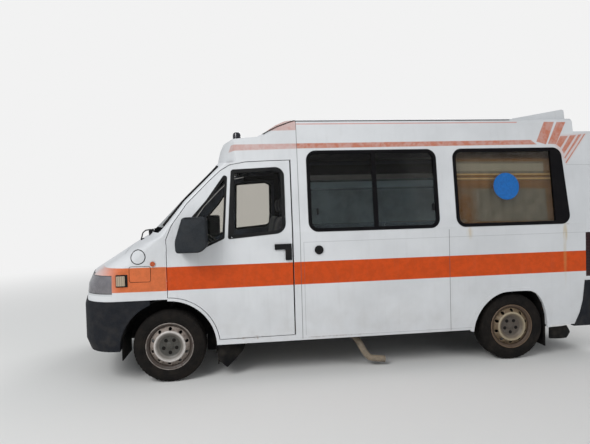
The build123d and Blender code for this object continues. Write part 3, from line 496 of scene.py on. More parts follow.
@dataclass(frozen=True)
class CoachPaint(Finish):
    """Old white coach enamel with orange bands: chalky, streaked with dirt and rust at its low edges."""

    band: str = "c54603"
    wing: str = "bd6236"
    worn: str = "b3705a"
    faded: str = "be9c96"
    liner: str = "4c5160"
    # painted shade: the grey laid over the white towards the rear
    rear_shade: str = "8e9194"
    streak: str = "6d675c"
    grime: str = "857c6d"
    drip: str = "b0975c"
    rust: str = "7b5a33"
    # painted shade laid along the pressed creases
    crease_shade: str = "54565a"
    seam: str = "4b4c4d"
    side_band: Corners = ((-4, 818), (4200, 826), (4200, 1023), (-4, 1023))
    roof_line: Corners = ((1181, 2269), (3330, 2272), (3330, 2281), (1181, 2278))
    wing_band: Corners = ((-4, 816), (-900, 822), (-900, 1030), (-4, 1026))
    lamp_line: Corners = ((-470, 794), (-900, 795), (-900, 807), (-470, 806))
    cap_bands: tuple[Corners, ...] = (
        ((560, 2034), (585, 2090), (1178, 2094), (1178, 2047)),
        ((850, 2212), (1178, 2218), (1178, 2312), (1060, 2300)))
    roof_bands: tuple[Corners, ...] = (
        ((1178, 2047), (1178, 2094), (3455, 2102), (3513, 2058)),
        ((3512, 2085), (3609, 2056), (3717, 2279), (3610, 2280)),
        ((3629, 2062), (3714, 2058), (3836, 2277), (3743, 2278)),
        ((3714, 2054), (3757, 2023), (3847, 2138), (3767, 2137)),
        ((3769, 2002), (3786, 1963), (3934, 2147), (3870, 2142)),
        ((3786, 1925), (3796, 1916), (3991, 2152), (3958, 2149)),
        ((3794, 1877), (3804, 1870), (4033, 2157), (4020, 2157)))
    pink_haze: Corners = ((3690, 2062), (3770, 2150), (4052, 2166), (3800, 1858))
    seams: Corners = ((1178, 2300), (2573, 1270))  # the station and the top of each
    seam_foot: float = 330
    seam_half: float = 2.5
    # where painted shade lies along the pressed creases
    shaded_creases: tuple[Corners, ...] = (
        ((1207, 1196), (3943, 1199), (3943, 1202), (1207, 1199)),
        ((1207, 360), (1211, 360), (1211, 1198), (1207, 1198)),
        ((3801, 1856), (4090, 1849), (4090, 1852), (3801, 1859)),
        ((1230, 340), (2780, 340), (2780, 343), (1230, 343)))
    drips: tuple[tuple[float, ...], ...] = (
        (3734, 1200, 32, 130, 0.9), (3730, 1010, 26, 420, 0.4), (2776, 1232, 44, 90, 0.6))
    rust_spots: tuple[tuple[float, ...], ...] = (
        (770, 368, 66, 26), (640, 366, 90, 14, 0.7), (1500, 340, 500, 12, 0.5), (3760, 1285, 50, 10, 0.6))

    def pattern(self, pattern: Pattern, shader: bpy.types.Node) -> None:
        """Paint, bands, weather, painted shade and seams on the outer faces, and a plain grey lining on the inner
        ones.
        """
        p = pattern
        outward = p.ramp(p.both(p.along(OUT), p.along(OUT, p.normal)), 0.05, 0.2, False)
        shell = p.either(outward, p.ramp(p.along(AFT, p.normal), 0.5, 0.7, False))
        outer = p.either(shell, *(p.ramp(p.along(way, p.normal), 0.2, 0.4, False) for way in (UP, AHEAD)))
        worn = p.noise(60, 6, low=0.38, high=0.62, roughness=0.7)
        rust = p.both(p.either(*(p.spot(*spot) for spot in self.rust_spots)),
                      p.noise(30, 7, stretch=(1, 1, 3), low=0.36, high=0.66))
        tone = self.old_bands(p, self.aged_white(p, outward), outward, worn)
        tone = self.fresh_bands(p, tone, outward, shell, worn)
        tone = self.seamed(p, self.weathered(p, tone, rust), outward)
        rough = p.scaled(p.noise(80, 4), 0.3, self.roughness - 0.12, clamp=True)
        p.feed(shader, {"Base Color": p.lay(p.clouded(self.liner, 90, 0.8), tone, outer),
                        "Roughness": p.either(rough, rust),
                        "Normal": p.bump(p.noise(500, 2), 3.0, 0.15)})

    def aged_white(self, p: Pattern, outward):
        """The white, greyed towards the rear by painted shade, and pink where old bands shine through."""
        white = p.clouded(self.colour, 420, 0.95, 5, 0.75)
        # painted shade that greys the white towards the rear
        white = p.lay(white, self.rear_shade, p.ramp(p.along(AFT), at(1400), at(4100), False), 0.2)
        return p.lay(white, self.faded, p.polygon(self.pink_haze, 0.01), outward, 0.4)

    def old_bands(self, p: Pattern, tone, outward, worn):
        """The bleached bands on the cab's roof cap and the chalky ones on the raised roof."""
        chalky = p.scaled(worn, 0.25, 0.75)
        tone = p.lay(tone, self.faded, p.polygons(self.cap_bands), chalky, outward)
        return p.lay(tone, self.worn, p.polygons(self.roof_bands), chalky, outward)

    def fresh_bands(self, p: Pattern, tone, outward, shell, worn):
        """The orange side band and roof line, and the band on the wing, which fades to the nose."""
        tone = p.lay(tone, self.wing, p.polygon(self.lamp_line), 0.8)
        nose = p.scaled(p.ramp(p.along(AFT), at(-660), at(-380)), 0.72, 0.28)
        wing = p.lay(self.wing, shade(self.wing, 1.08), worn)
        tone = p.lay(tone, wing, p.polygon(self.wing_band), nose, outward)
        bands = p.either(p.polygon(self.side_band), p.both(p.polygon(self.roof_line), 0.6))
        return p.lay(tone, p.lay(self.band, shade(self.band, 0.93), worn), bands, shell)

    def weathered(self, p: Pattern, tone, rust):
        """Streaks, grime low down, drips under the rear windows and rust."""
        streak = p.noise(40, 4, stretch=(1, 1, 14), low=0.52, high=0.78)
        grime = p.both(p.ramp(p.along(UP), 1.0, 0.3), p.noise(150, 6, low=0.3, high=0.8))
        drip = p.both(p.either(*(p.spot(*spot) for spot in self.drips)),
                      p.noise(26, 4, stretch=(1, 1, 6), low=0.25, high=0.6))
        for colour, mask, power in ((self.streak, streak, 0.06), (self.grime, grime, 0.16),
                                    (self.drip, drip, 0.75), (self.rust, rust, 0.7)):
            tone = p.lay(tone, colour, mask, power)
        return tone

    def seamed(self, p: Pattern, tone, outward):
        """Painted shade along the pressed creases, and the seams between panels."""
        half = self.seam_half
        seams = tuple(((s - half, self.seam_foot), (s + half, self.seam_foot), (s + half, top), (s - half, top))
                      for s, top in self.seams)
        # painted shade in the creases, then the dark seams
        tone = p.lay(tone, self.crease_shade, p.polygons(self.shaded_creases), outward, 0.45)
        return p.lay(tone, self.seam, p.polygons(seams, 0.001), outward, 0.8)


@dataclass(frozen=True)
class WheelPaint(Finish):
    """Silver-grey enamel on pressed steel, with painted highlights and shade in rings on its ridge, slopes and
    rolled edge, and brown with brake dust elsewhere.
    """

    # painted highlights and shade: lighter rings on the slopes, the ridge and the rolled edge, a dark one where
    # the cone meets the barrel
    painted_light_rings: tuple[tuple[float, float, str], ...] = (
        (0.088, 0.100, "6e6a64"), (0.106, 0.122, "9f9a95"), (0.122, 0.128, "c2bdb8"), (0.136, 0.141, "8d837b"),
        (0.174, 0.178, "3d3631"), (0.1985, 0.202, "867f79"))
    rust: str = "46332a"
    rear: str = "5a4c40"

    def pattern(self, pattern: Pattern, shader: bpy.types.Node) -> None:
        """Rings of painted highlight and shade by the distance from the nearest axle, then rust and brake dust."""
        p = pattern
        middle = WHEELBASE / 2
        from_middle = p.reckon("ABSOLUTE", p.reckon("SUBTRACT", p.along(AFT), at(middle)))
        reach = p.length(p.reckon("SUBTRACT", from_middle, middle / 1000),
                         p.reckon("SUBTRACT", p.along(UP), HUB_HEIGHT))
        tone = p.clouded(self.colour, 12, 0.8)
        for low, high, colour in self.painted_light_rings:
            tone = p.lay(tone, colour, p.ramp(reach, low, high))
        cloud = p.noise(26, 8, low=0.45, high=0.68, roughness=0.7)
        dirty = p.both(cloud, p.scaled(p.ramp(reach, 0.134, 0.146), 0.45, 0.22))
        tone = p.lay(tone, self.rust, dirty)
        tone = p.lay(tone, self.rear, p.ramp(p.along(AFT), at(middle - 100), at(middle + 100)), 0.38)
        p.feed(shader, {"Base Color": tone, "Roughness": p.scaled(dirty, 0.6, self.roughness, clamp=True),
                        "Normal": p.bump(cloud, 0.4, 0.35)})


@dataclass(frozen=True)
class StainedBlind(Finish):
    """A plastic-backed roller blind, browned in bands by sun and damp, with pale slats pressed in it."""

    brown: str = "4e3413"
    light: str = "b2945c"
    tilt: float = 0.014
    browned: tuple[Band, ...] = ((1903, 2100, 0.012), (1748, 1772, 0.006), (1640, 1728, 0.014),
                                 (1280, 1330, 0.012))
    slats: tuple[Band, ...] = ((1774, 1785, 0.006), (1732, 1744, 0.006))
    pale: tuple[Band, ...] = ((1810, 1884, 0.010),)
    darkest: tuple[Band, ...] = ((1930, 2100, 0.02),)

    def levels(self, p: Pattern, bands: tuple[Band, ...]):
        """A mask of nearly level bands, which fall slightly to the rear."""
        height = p.along((self.tilt, 0, 1))
        lift = self.tilt * at(3150)
        masks = []
        for low, high, edge in bands:
            foot, top = low / 1000 + lift, high / 1000 + lift
            masks.append(p.within(p.ramp(height, foot - edge, foot + edge),
                                  p.ramp(height, top + edge, top - edge)))
        return p.either(*masks)

    def pattern(self, pattern: Pattern, shader: bpy.types.Node) -> None:
        """Level bands of brown and grey, brown blotches at its front edge and foot."""
        p = pattern
        cloudy = p.scaled(p.noise(120, 5, stretch=(3, 1, 1), low=0.3, high=0.7), 0.25, 0.75)
        blotches = p.both(p.ramp(p.along(AFT), at(2930), at(2790)), p.noise(150, 4, low=0.2, high=0.55),
                          p.ramp(p.along(UP), 1.72, 1.64))
        rear_edge = p.both(p.ramp(p.along(AFT), at(3585), at(3615)), 0.7)
        brown = p.lay(self.brown, shade(self.brown, 1.7), p.noise(60, 4, stretch=(4, 1, 1)))
        brown = p.lay(brown, shade(self.brown, 0.6), self.levels(p, self.darkest))
        tone = p.lay(p.clouded(self.colour, 90, 0.85, 5), shade(self.colour, 1.25), self.levels(p, self.pale))
        tone = p.lay(tone, brown, p.either(p.both(self.levels(p, self.browned), cloudy), blotches, rear_edge))
        tone = p.lay(tone, self.light, self.levels(p, self.slats))
        p.feed(shader, {"Base Color": tone, "Normal": p.bump(p.noise(3, 2), 0.2, 0.4)})


@dataclass(frozen=True)
class RailedWall(Finish):
    """The melamine lining of the far wall: a navy strip and pale equipment rails over a dark panel."""

    bands: tuple[tuple[float, float, str], ...] = (
        (1935, 2070, "03060c"), (1868, 1930, "eef3f6"), (1846, 1856, "05070a"), (1765, 1840, "b4ccd6"),
        (1735, 1752, "05070a"))

    def pattern(self, pattern: Pattern, shader: bpy.types.Node) -> None:
        """Level bands by height."""
        tone = pattern.clouded(self.colour, 140, 0.8)
        for low, high, colour in self.bands:
            band = pattern.polygon(((1000, low), (4000, low), (4000, high), (1000, high)), 0.004)
            tone = pattern.lay(tone, colour, band)
        pattern.feed(shader, {"Base Color": tone})


FINISHES = [
    CoachPaint("white_coach_paint", "d2d4d6", 0.52, coat=0.03, specular=0.3),
    MouldedPlastic("slate_bumper_plastic", "1b1e24", 0.68, specular=0.18, dust=0.08),
    MouldedPlastic("black_moulded_plastic", "111214", 0.55, specular=0.2, dust=0.08),
    MouldedPlastic("slate_mirror_plastic", "25292e", 0.6, specular=0.25, dust=0.08),
    MouldedPlastic("grey_moulded_plastic", "3b3f43", 0.6, specular=0.3),
    Finish("black_sealing_rubber", "0d0d0f", 0.7, specular=0.15, dust=0.08),
    Finish("black_band_glass", "0b0a0d", 0.45, specular=0.1, dust=0.03),
    Finish("grey_liner_board", "5d6063", 0.7, dust=0.3),
    Finish("tyre_rubber", "171514", 0.85, specular=0.15, dust=0.4, dust_colour="352e28"),
    WheelPaint("silver_wheel_paint", "45443f", 0.45, specular=0.5),
    # the rear wheels' rings of painted highlight and shade, tinted brown with rust
    WheelPaint("rusted_wheel_paint", "4b4a47", 0.5, specular=0.4, painted_light_rings=(
        (0.088, 0.100, "6a6358"), (0.106, 0.122, "978b74"), (0.122, 0.128, "b7ab90"), (0.136, 0.141, "7f6e55"),
        (0.174, 0.178, "43352a"), (0.1985, 0.202, "76604a"))),
    Metal("rusty_wheel_hub", "1d1b19", 0.8, 0.0, specular=0.15, rust=0.2, rust_size=25, dust=0.15,
          dust_colour="332d28"),
    TintedGlass("tinted_window_glass", "d6d4cf", 0.02, index=1.2),
    ScreenGlass("laminated_screen_glass", "a9b0ae", 0.02, index=1.2),
    HeadlampLens("clear_lamp_lens", "78767a", 0.2, specular=0.4, coat=0.3, dust=0.2),
    RibbedLens("amber_lamp_lens", "c8551a", 0.25, dust=0.15, flute=6.0),
    RibbedLens("pale_flasher_lens", "ab9b85", 0.3, dust=0.25, flute=18.0, across="X"),
    RibbedLens("red_lamp_lens", "25060a", 0.25, specular=0.25, dust=0.08, flute=30.0, across="Z"),
    RibbedLens("blue_dome_lens", "0b0f1d", 0.15, dust=0.2, flute=12.0, across="Z"),
    WovenCloth("navy_seat_cloth", "43454f", 0.9),
    StainedBlind("stained_window_blind", "6c695f", 0.8),
    RailedWall("railed_wall_lining", "98a3a4", 0.5),
    MouldedPlastic("black_coated_cloth", "17191c", 0.5, grain=4.0, specular=0.3),
    Metal("bright_alloy", "b9bbbd", 0.3, 1.0, rust=0.0, dust=0.1),
    Metal("cast_alloy", "6f7173", 0.5, 0.6, rust=0.1, dust=0.4),
    Metal("black_chassis_steel", "141516", 0.7, 0.0, specular=0.2, rust=0.35, dust=0.35, dust_colour="3a342d"),
    Metal("dull_steel", "3c3b39", 0.6, 0.3, rust=0.6, dust=0.4, dust_colour="3a342d"),
    Metal("dusty_exhaust_steel", "85796a", 0.8, 0.0, rust=0.3, dust=0.9, dust_colour="948570"),
    Finish("sign_blue_film", "0a62ae", 0.4, specular=0.3, dust=0.06),
    Finish("plain_plate_enamel", "c9cacb", 0.5, dust=0.2),
    Metal("mirror_silver", "c9ced3", 0.04, 1.0, rust=0.0, dust=0.05),
]

NODE_FINISH = {
    "white_coach_paint": "cab_shell front_wings bonnet load_shell high_roof cab_roof_cap side_door left_door"
                         " right_door rear_left_door rear_right_door",
    "slate_bumper_plastic": "front_bumper rear_bumper",
    "black_moulded_plastic": "left_door_trim right_door_trim wipers grille",
    "slate_mirror_plastic": "left_mirror right_mirror",
    "grey_moulded_plastic": "dashboard",
    "grey_liner_board": "bulkhead lockers",
    "black_sealing_rubber": "mud_flaps",
    "black_band_glass": "window_seals",
    "tyre_rubber": "front_left_tyre front_right_tyre rear_left_tyre rear_right_tyre spare_wheel",
    "silver_wheel_paint": "front_left_rim front_right_rim rear_left_rim rear_right_rim",
    "laminated_screen_glass": "windscreen",
    "tinted_window_glass": "side_glass left_door_glass right_door_glass rear_left_door_glass"
                           " rear_right_door_glass",
    "clear_lamp_lens": "headlamps",
    "pale_flasher_lens": "wing_flashers",
    "red_lamp_lens": "tail_lamps",
    "blue_dome_lens": "beacons",
    "navy_seat_cloth": "seats",
    "stained_window_blind": "blinds",
    "black_coated_cloth": "bench",
    "bright_alloy": "stretcher",
    "cast_alloy": "engine radiator",
    "black_chassis_steel": "floor front_subframe fuel_tank left_knuckle right_knuckle",
    "dull_steel": "rear_axle leaf_springs",
    "dusty_exhaust_steel": "exhaust",
}


class Workshop:
    """Keeps the finishes and turns a bmesh into a finished piece."""

    def __init__(self) -> None:
        """Makes every material once."""
        self.materials = {finish.name: finish.build() for finish in FINISHES}

    def piece(self, name: str, mesh: bmesh.types.BMesh, finish: str, body: str = "body",
              smooth: float | None = EDGE_ANGLE, bevel: float = 0.0, segments: int = 2) -> bpy.types.Object:
        """Makes an object from a bmesh, with its finish and body.

        Args:
            name: The piece's name.
            mesh: Its shape in the frame's metres; it is freed.
            finish: The material's name.
            body: The body it rides on.
            smooth: The angle in degrees under which its faces shade as one, or none.
            bevel: The width in metres of a live edge bevel.
            segments: How many steps the bevel has.

        Returns:
            The new object.
        """
        data = bpy.data.meshes.new(name)
        mesh.to_mesh(data)
        mesh.free()
        thing = bpy.data.objects.new(name, data)
        bpy.context.scene.collection.objects.link(thing)
        data.materials.append(self.materials[finish])
        if smooth is not None:
            data.polygons.foreach_set("use_smooth", [True] * len(data.polygons))
            data.set_sharp_from_angle(angle=math.radians(smooth))
        if bevel:
            edge = thing.modifiers.new("edge", "BEVEL")
            edge.width, edge.segments, edge.limit_method = bevel, segments, "ANGLE"
            edge.angle_limit = math.radians(EDGE_ANGLE)
            edge.harden_normals = True
        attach(thing, body)
        LOG.info("piece %s on %s in %s", name, body, finish)
        return thing

    def dress(self) -> None:
        """Gives each CAD node that stays its finish."""
        for finish, nodes in NODE_FINISH.items():
            for node in nodes.split():
                thing = frame["nodes"][node]
                for slot in thing.material_slots:
                    slot.material = self.materials[finish]
                if not thing.material_slots:
                    thing.data.materials.append(self.materials[finish])
                LOG.info("node %s in %s", node, finish)


def block(low: Point, high: Point) -> bmesh.types.BMesh:
    """A block between two corners in metres."""
    mesh = bmesh.new()
    low, high = Vector(low), Vector(high)
    size = high - low
    bmesh.ops.create_cube(mesh, size=1, matrix=Matrix.Translation((low + high) / 2) @ Matrix.Diagonal((*size, 1)))
    return mesh


def side_block(side: int, stations: tuple[float, float], reach: tuple[float, float],
               heights: tuple[float, float]) -> bmesh.types.BMesh:
    """A block on one side of the vehicle.

    Args:
        side: Which side of the vehicle.
        stations: Its front and rear station in millimetres.
        reach: How far from the middle its inner and outer face lie, in metres.
        heights: The heights of its foot and top in metres.

    Returns:
        The new block.
    """
    inner, outer = sorted(side * y for y in reach)
    return block((at(stations[0]), inner, heights[0]), (at(stations[1]), outer, heights[1]))


def round_off(mesh: bmesh.types.BMesh, geom: list, radius: float, steps: int, affect: str = "EDGES") -> None:
    """Rounds some edges of a mesh, or its corners if it affects VERTICES."""
    bmesh.ops.bevel(mesh, geom=geom, offset=radius, segments=steps, affect=affect, profile=0.5, material=-1)


def thicken(mesh: bmesh.types.BMesh, move: Point) -> set[bmesh.types.BMVert]:
    """Makes a sheet a solid.

    Args:
        mesh: The sheet.
        move: The step in metres from it to its second face.

    Returns:
        The second face's points.
    """
    grown = bmesh.ops.extrude_face_region(mesh, geom=mesh.faces[:])
    far = {part for part in grown["geom"] if isinstance(part, bmesh.types.BMVert)}
    bmesh.ops.translate(mesh, vec=move, verts=list(far))
    bmesh.ops.recalc_face_normals(mesh, faces=mesh.faces[:])
    return far


def slice_across(mesh: bmesh.types.BMesh, axis: Point, low: float, high: float, parts: int) -> None:
    """Cuts a sheet into equal parts along an axis, so that it can bend.

    Args:
        mesh: The sheet.
        axis: The axis's direction.
        low: Where on it the parts start, in metres.
        high: Where they end.
        parts: How many there are.
    """
    for number in range(1, parts):
        bmesh.ops.bisect_plane(mesh, geom=mesh.verts[:] + mesh.edges[:] + mesh.faces[:],
                               plane_co=Vector(axis) * (low + (high - low) * number / parts), plane_no=axis)


class Skin:
    """The outer surface of some CAD nodes, on which small pieces are laid."""

    off_skin: float = 0.99

    def __init__(self, *nodes: str) -> None:
        """Keeps one search tree for each node."""
        graph = bpy.context.evaluated_depsgraph_get()
        self.trees = [BVHTree.FromObject(frame["nodes"][node], graph) for node in nodes]

    def width(self, x: float, z: float, side: int) -> float | None:
        """The outermost y on one side at a station and height, or none off the skin."""
        hits = [tree.ray_cast(Vector((x, side * 1.5, z)), Vector((0, -side, 0)))[0] for tree in self.trees]
        found = [side * hit.y for hit in hits if hit is not None]
        return side * max(found) if found else None

    def depth(self, y: float, z: float, end: int) -> float | None:
        """The outermost x at the front (-1) or rear (1) end at a width and height, or none off the skin."""
        hits = [tree.ray_cast(Vector((end * 4.0, y, z)), Vector((-end, 0, 0)))[0] for tree in self.trees]
        found = [end * hit.x for hit in hits if hit is not None]
        return end * max(found) if found else None

    def lay_end(self, mesh: bmesh.types.BMesh, end: int, proud: float) -> None:
        """Lays a sheet in the plane of y and z on the front or rear end and gives it a thickness."""
        for point in mesh.verts:
            reach = self.depth(point.co.y, point.co.z, end)
            point.co.x = reach if reach is not None else point.co.x
        thicken(mesh, (end * proud, 0, 0))

    def lay(self, mesh: bmesh.types.BMesh, side: int, proud: float) -> None:
        """Moves a flat shape's points onto the skin and gives it a thickness.

        Args:
            mesh: A sheet in the plane of x and z, fine enough to follow the skin.
            side: Which side of the vehicle.
            proud: How far its face stands out in metres.
        """
        for point in mesh.verts:
            reach = self.width(point.co.x, point.co.z, side)
            point.co.y = reach if reach is not None else side * self.off_skin
        thicken(mesh, (0, side * proud, 0))


def outline(points: Corners, radius: float = 0.0, steps: int = 6) -> bmesh.types.BMesh:
    """A flat face in the plane of x and z, with rounded corners.

    Args:
        points: Station and height of each corner in millimetres.
        radius: The corner radius in metres.
        steps: How many steps a corner has.

    Returns:
        The new sheet.
    """
    mesh = bmesh.new()
    mesh.faces.new([mesh.verts.new((at(s), 0, z / 1000)) for s, z in points])
    if radius:
        round_off(mesh, mesh.verts[:], radius, steps, "VERTICES")
    return mesh


def rectangle(s0: float, s1: float, z0: float, z1: float, radius: float) -> bmesh.types.BMesh:
    """A flat rectangle with rounded corners between two stations and two heights in millimetres."""
    return outline(((s0, z0), (s1, z0), (s1, z1), (s0, z1)), radius)


def disc(station: float, height: float, radius: float, steps: int = 48) -> bmesh.types.BMesh:
    """A flat round face in the plane of x and z; station and height are in millimetres."""
    mesh = bmesh.new()
    bmesh.ops.create_circle(mesh, cap_ends=True, segments=steps, radius=radius,
                            matrix=Matrix.Translation((at(station), 0, height / 1000)) @ UPRIGHT)
    return mesh


def rim_only(mesh: bmesh.types.BMesh, width: float) -> bmesh.types.BMesh:
    """Leaves only a band of a width inside the edge of a flat face."""
    middle = mesh.faces[:]
    bmesh.ops.inset_region(mesh, faces=middle, thickness=width, use_boundary=True, use_even_offset=True)
    bmesh.ops.delete(mesh, geom=middle, context="FACES")
    return mesh


def strip(s0: float, s1: float, z0: float, z1: float, steps: int = 24) -> bmesh.types.BMesh:
    """A flat strip in the plane of x and z, cut along its longer side so that it can follow the skin."""
    mesh = bmesh.new()
    wide, high = abs(s1 - s0), abs(z1 - z0)
    middle = Matrix.Translation((at((s0 + s1) / 2), 0, (z0 + z1) / 2000))
    size = Matrix.Diagonal((wide / 2000, 1, high / 2000, 1))
    bmesh.ops.create_grid(mesh, x_segments=steps if wide > high else 1, y_segments=1 if wide > high else steps,
                          size=1, matrix=middle @ size @ UPRIGHT)
    return mesh


def ribbon(points: Corners, width: float, steps: int = 12) -> bmesh.types.BMesh:
    """A flat band along a line in the plane of x and z.

    Args:
        points: Station and height of the line's points in millimetres.
        width: The band's width in millimetres, laid to the line's right.
        steps: How many cuts each run has.

    Returns:
        The new sheet.
    """
    mesh = bmesh.new()
    spots = [Vector((at(s), 0, z / 1000)) for s, z in points]
    line = [spots[0]] + [a.lerp(b, i / steps) for a, b in zip(spots, spots[1:]) for i in range(1, steps + 1)]
    ways = [(b - a).normalized() for a, b in zip(line, line[1:])]
    ways.append(ways[-1])
    rows = []
    for i, (spot, way) in enumerate(zip(line, ways)):
        way = (way + ways[max(i - 1, 0)]).normalized()
        rows.append([mesh.verts.new(spot), mesh.verts.new(spot + Vector((way.z, 0, -way.x)) * width / 1000)])
    for low, high in zip(rows, rows[1:]):
        mesh.faces.new((low[0], low[1], high[1], high[0]))
    return mesh


def rod(start: Point, end: Point, radius: float, steps: int = 12) -> bmesh.types.BMesh:
    """A round bar between two points in metres."""
    start, end = Vector(start), Vector(end)
    mesh = bmesh.new()
    turn = (end - start).to_track_quat("Z", "Y").to_matrix().to_4x4()
    bmesh.ops.create_cone(mesh, cap_ends=True, segments=steps, radius1=radius, radius2=radius,
                          depth=(end - start).length, matrix=Matrix.Translation((start + end) / 2) @ turn)
    return mesh


def merged(*meshes: bmesh.types.BMesh) -> bmesh.types.BMesh:
    """Puts several meshes into the first one."""
    whole = meshes[0]
    for other in meshes[1:]:
        data = bpy.data.meshes.new("joined")
        other.to_mesh(data)
        other.free()
        whole.from_mesh(data)
        bpy.data.meshes.remove(data)
    return whole


def clean(mesh: bmesh.types.BMesh, reach: float = 1e-6) -> bmesh.types.BMesh:
    """Merges the points that lie within a reach of each other and turns the faces outwards."""
    bmesh.ops.remove_doubles(mesh, verts=mesh.verts[:], dist=reach)
    bmesh.ops.recalc_face_normals(mesh, faces=mesh.faces[:])
    return mesh


def turned(section: Section, centre: Vector, steps: int, closed: bool = True,
           axis: Point = OUT) -> bmesh.types.BMesh:
    """Turns a section of (radius, distance along the axle) about an axle.

    Args:
        section: The section's points in metres.
        centre: A point on the axle.
        steps: How many steps the turn has.
        closed: Whether the section's last point joins its first.
        axis: The axle's direction, which is y or z.

    Returns:
        The turned shape.
    """
    mesh = bmesh.new()
    outward = Vector(UP if axis == OUT else AFT)
    verts = [mesh.verts.new(centre + outward * r + Vector(axis) * y) for r, y in section]
    edges = [mesh.edges.new(pair) for pair in zip(verts, verts[1:] + (verts[:1] if closed else []))]
    bmesh.ops.spin(mesh, geom=verts + edges, cent=centre, axis=axis, dvec=(0, 0, 0), angle=math.tau,
                   steps=steps, use_merge=True)
    return clean(mesh)


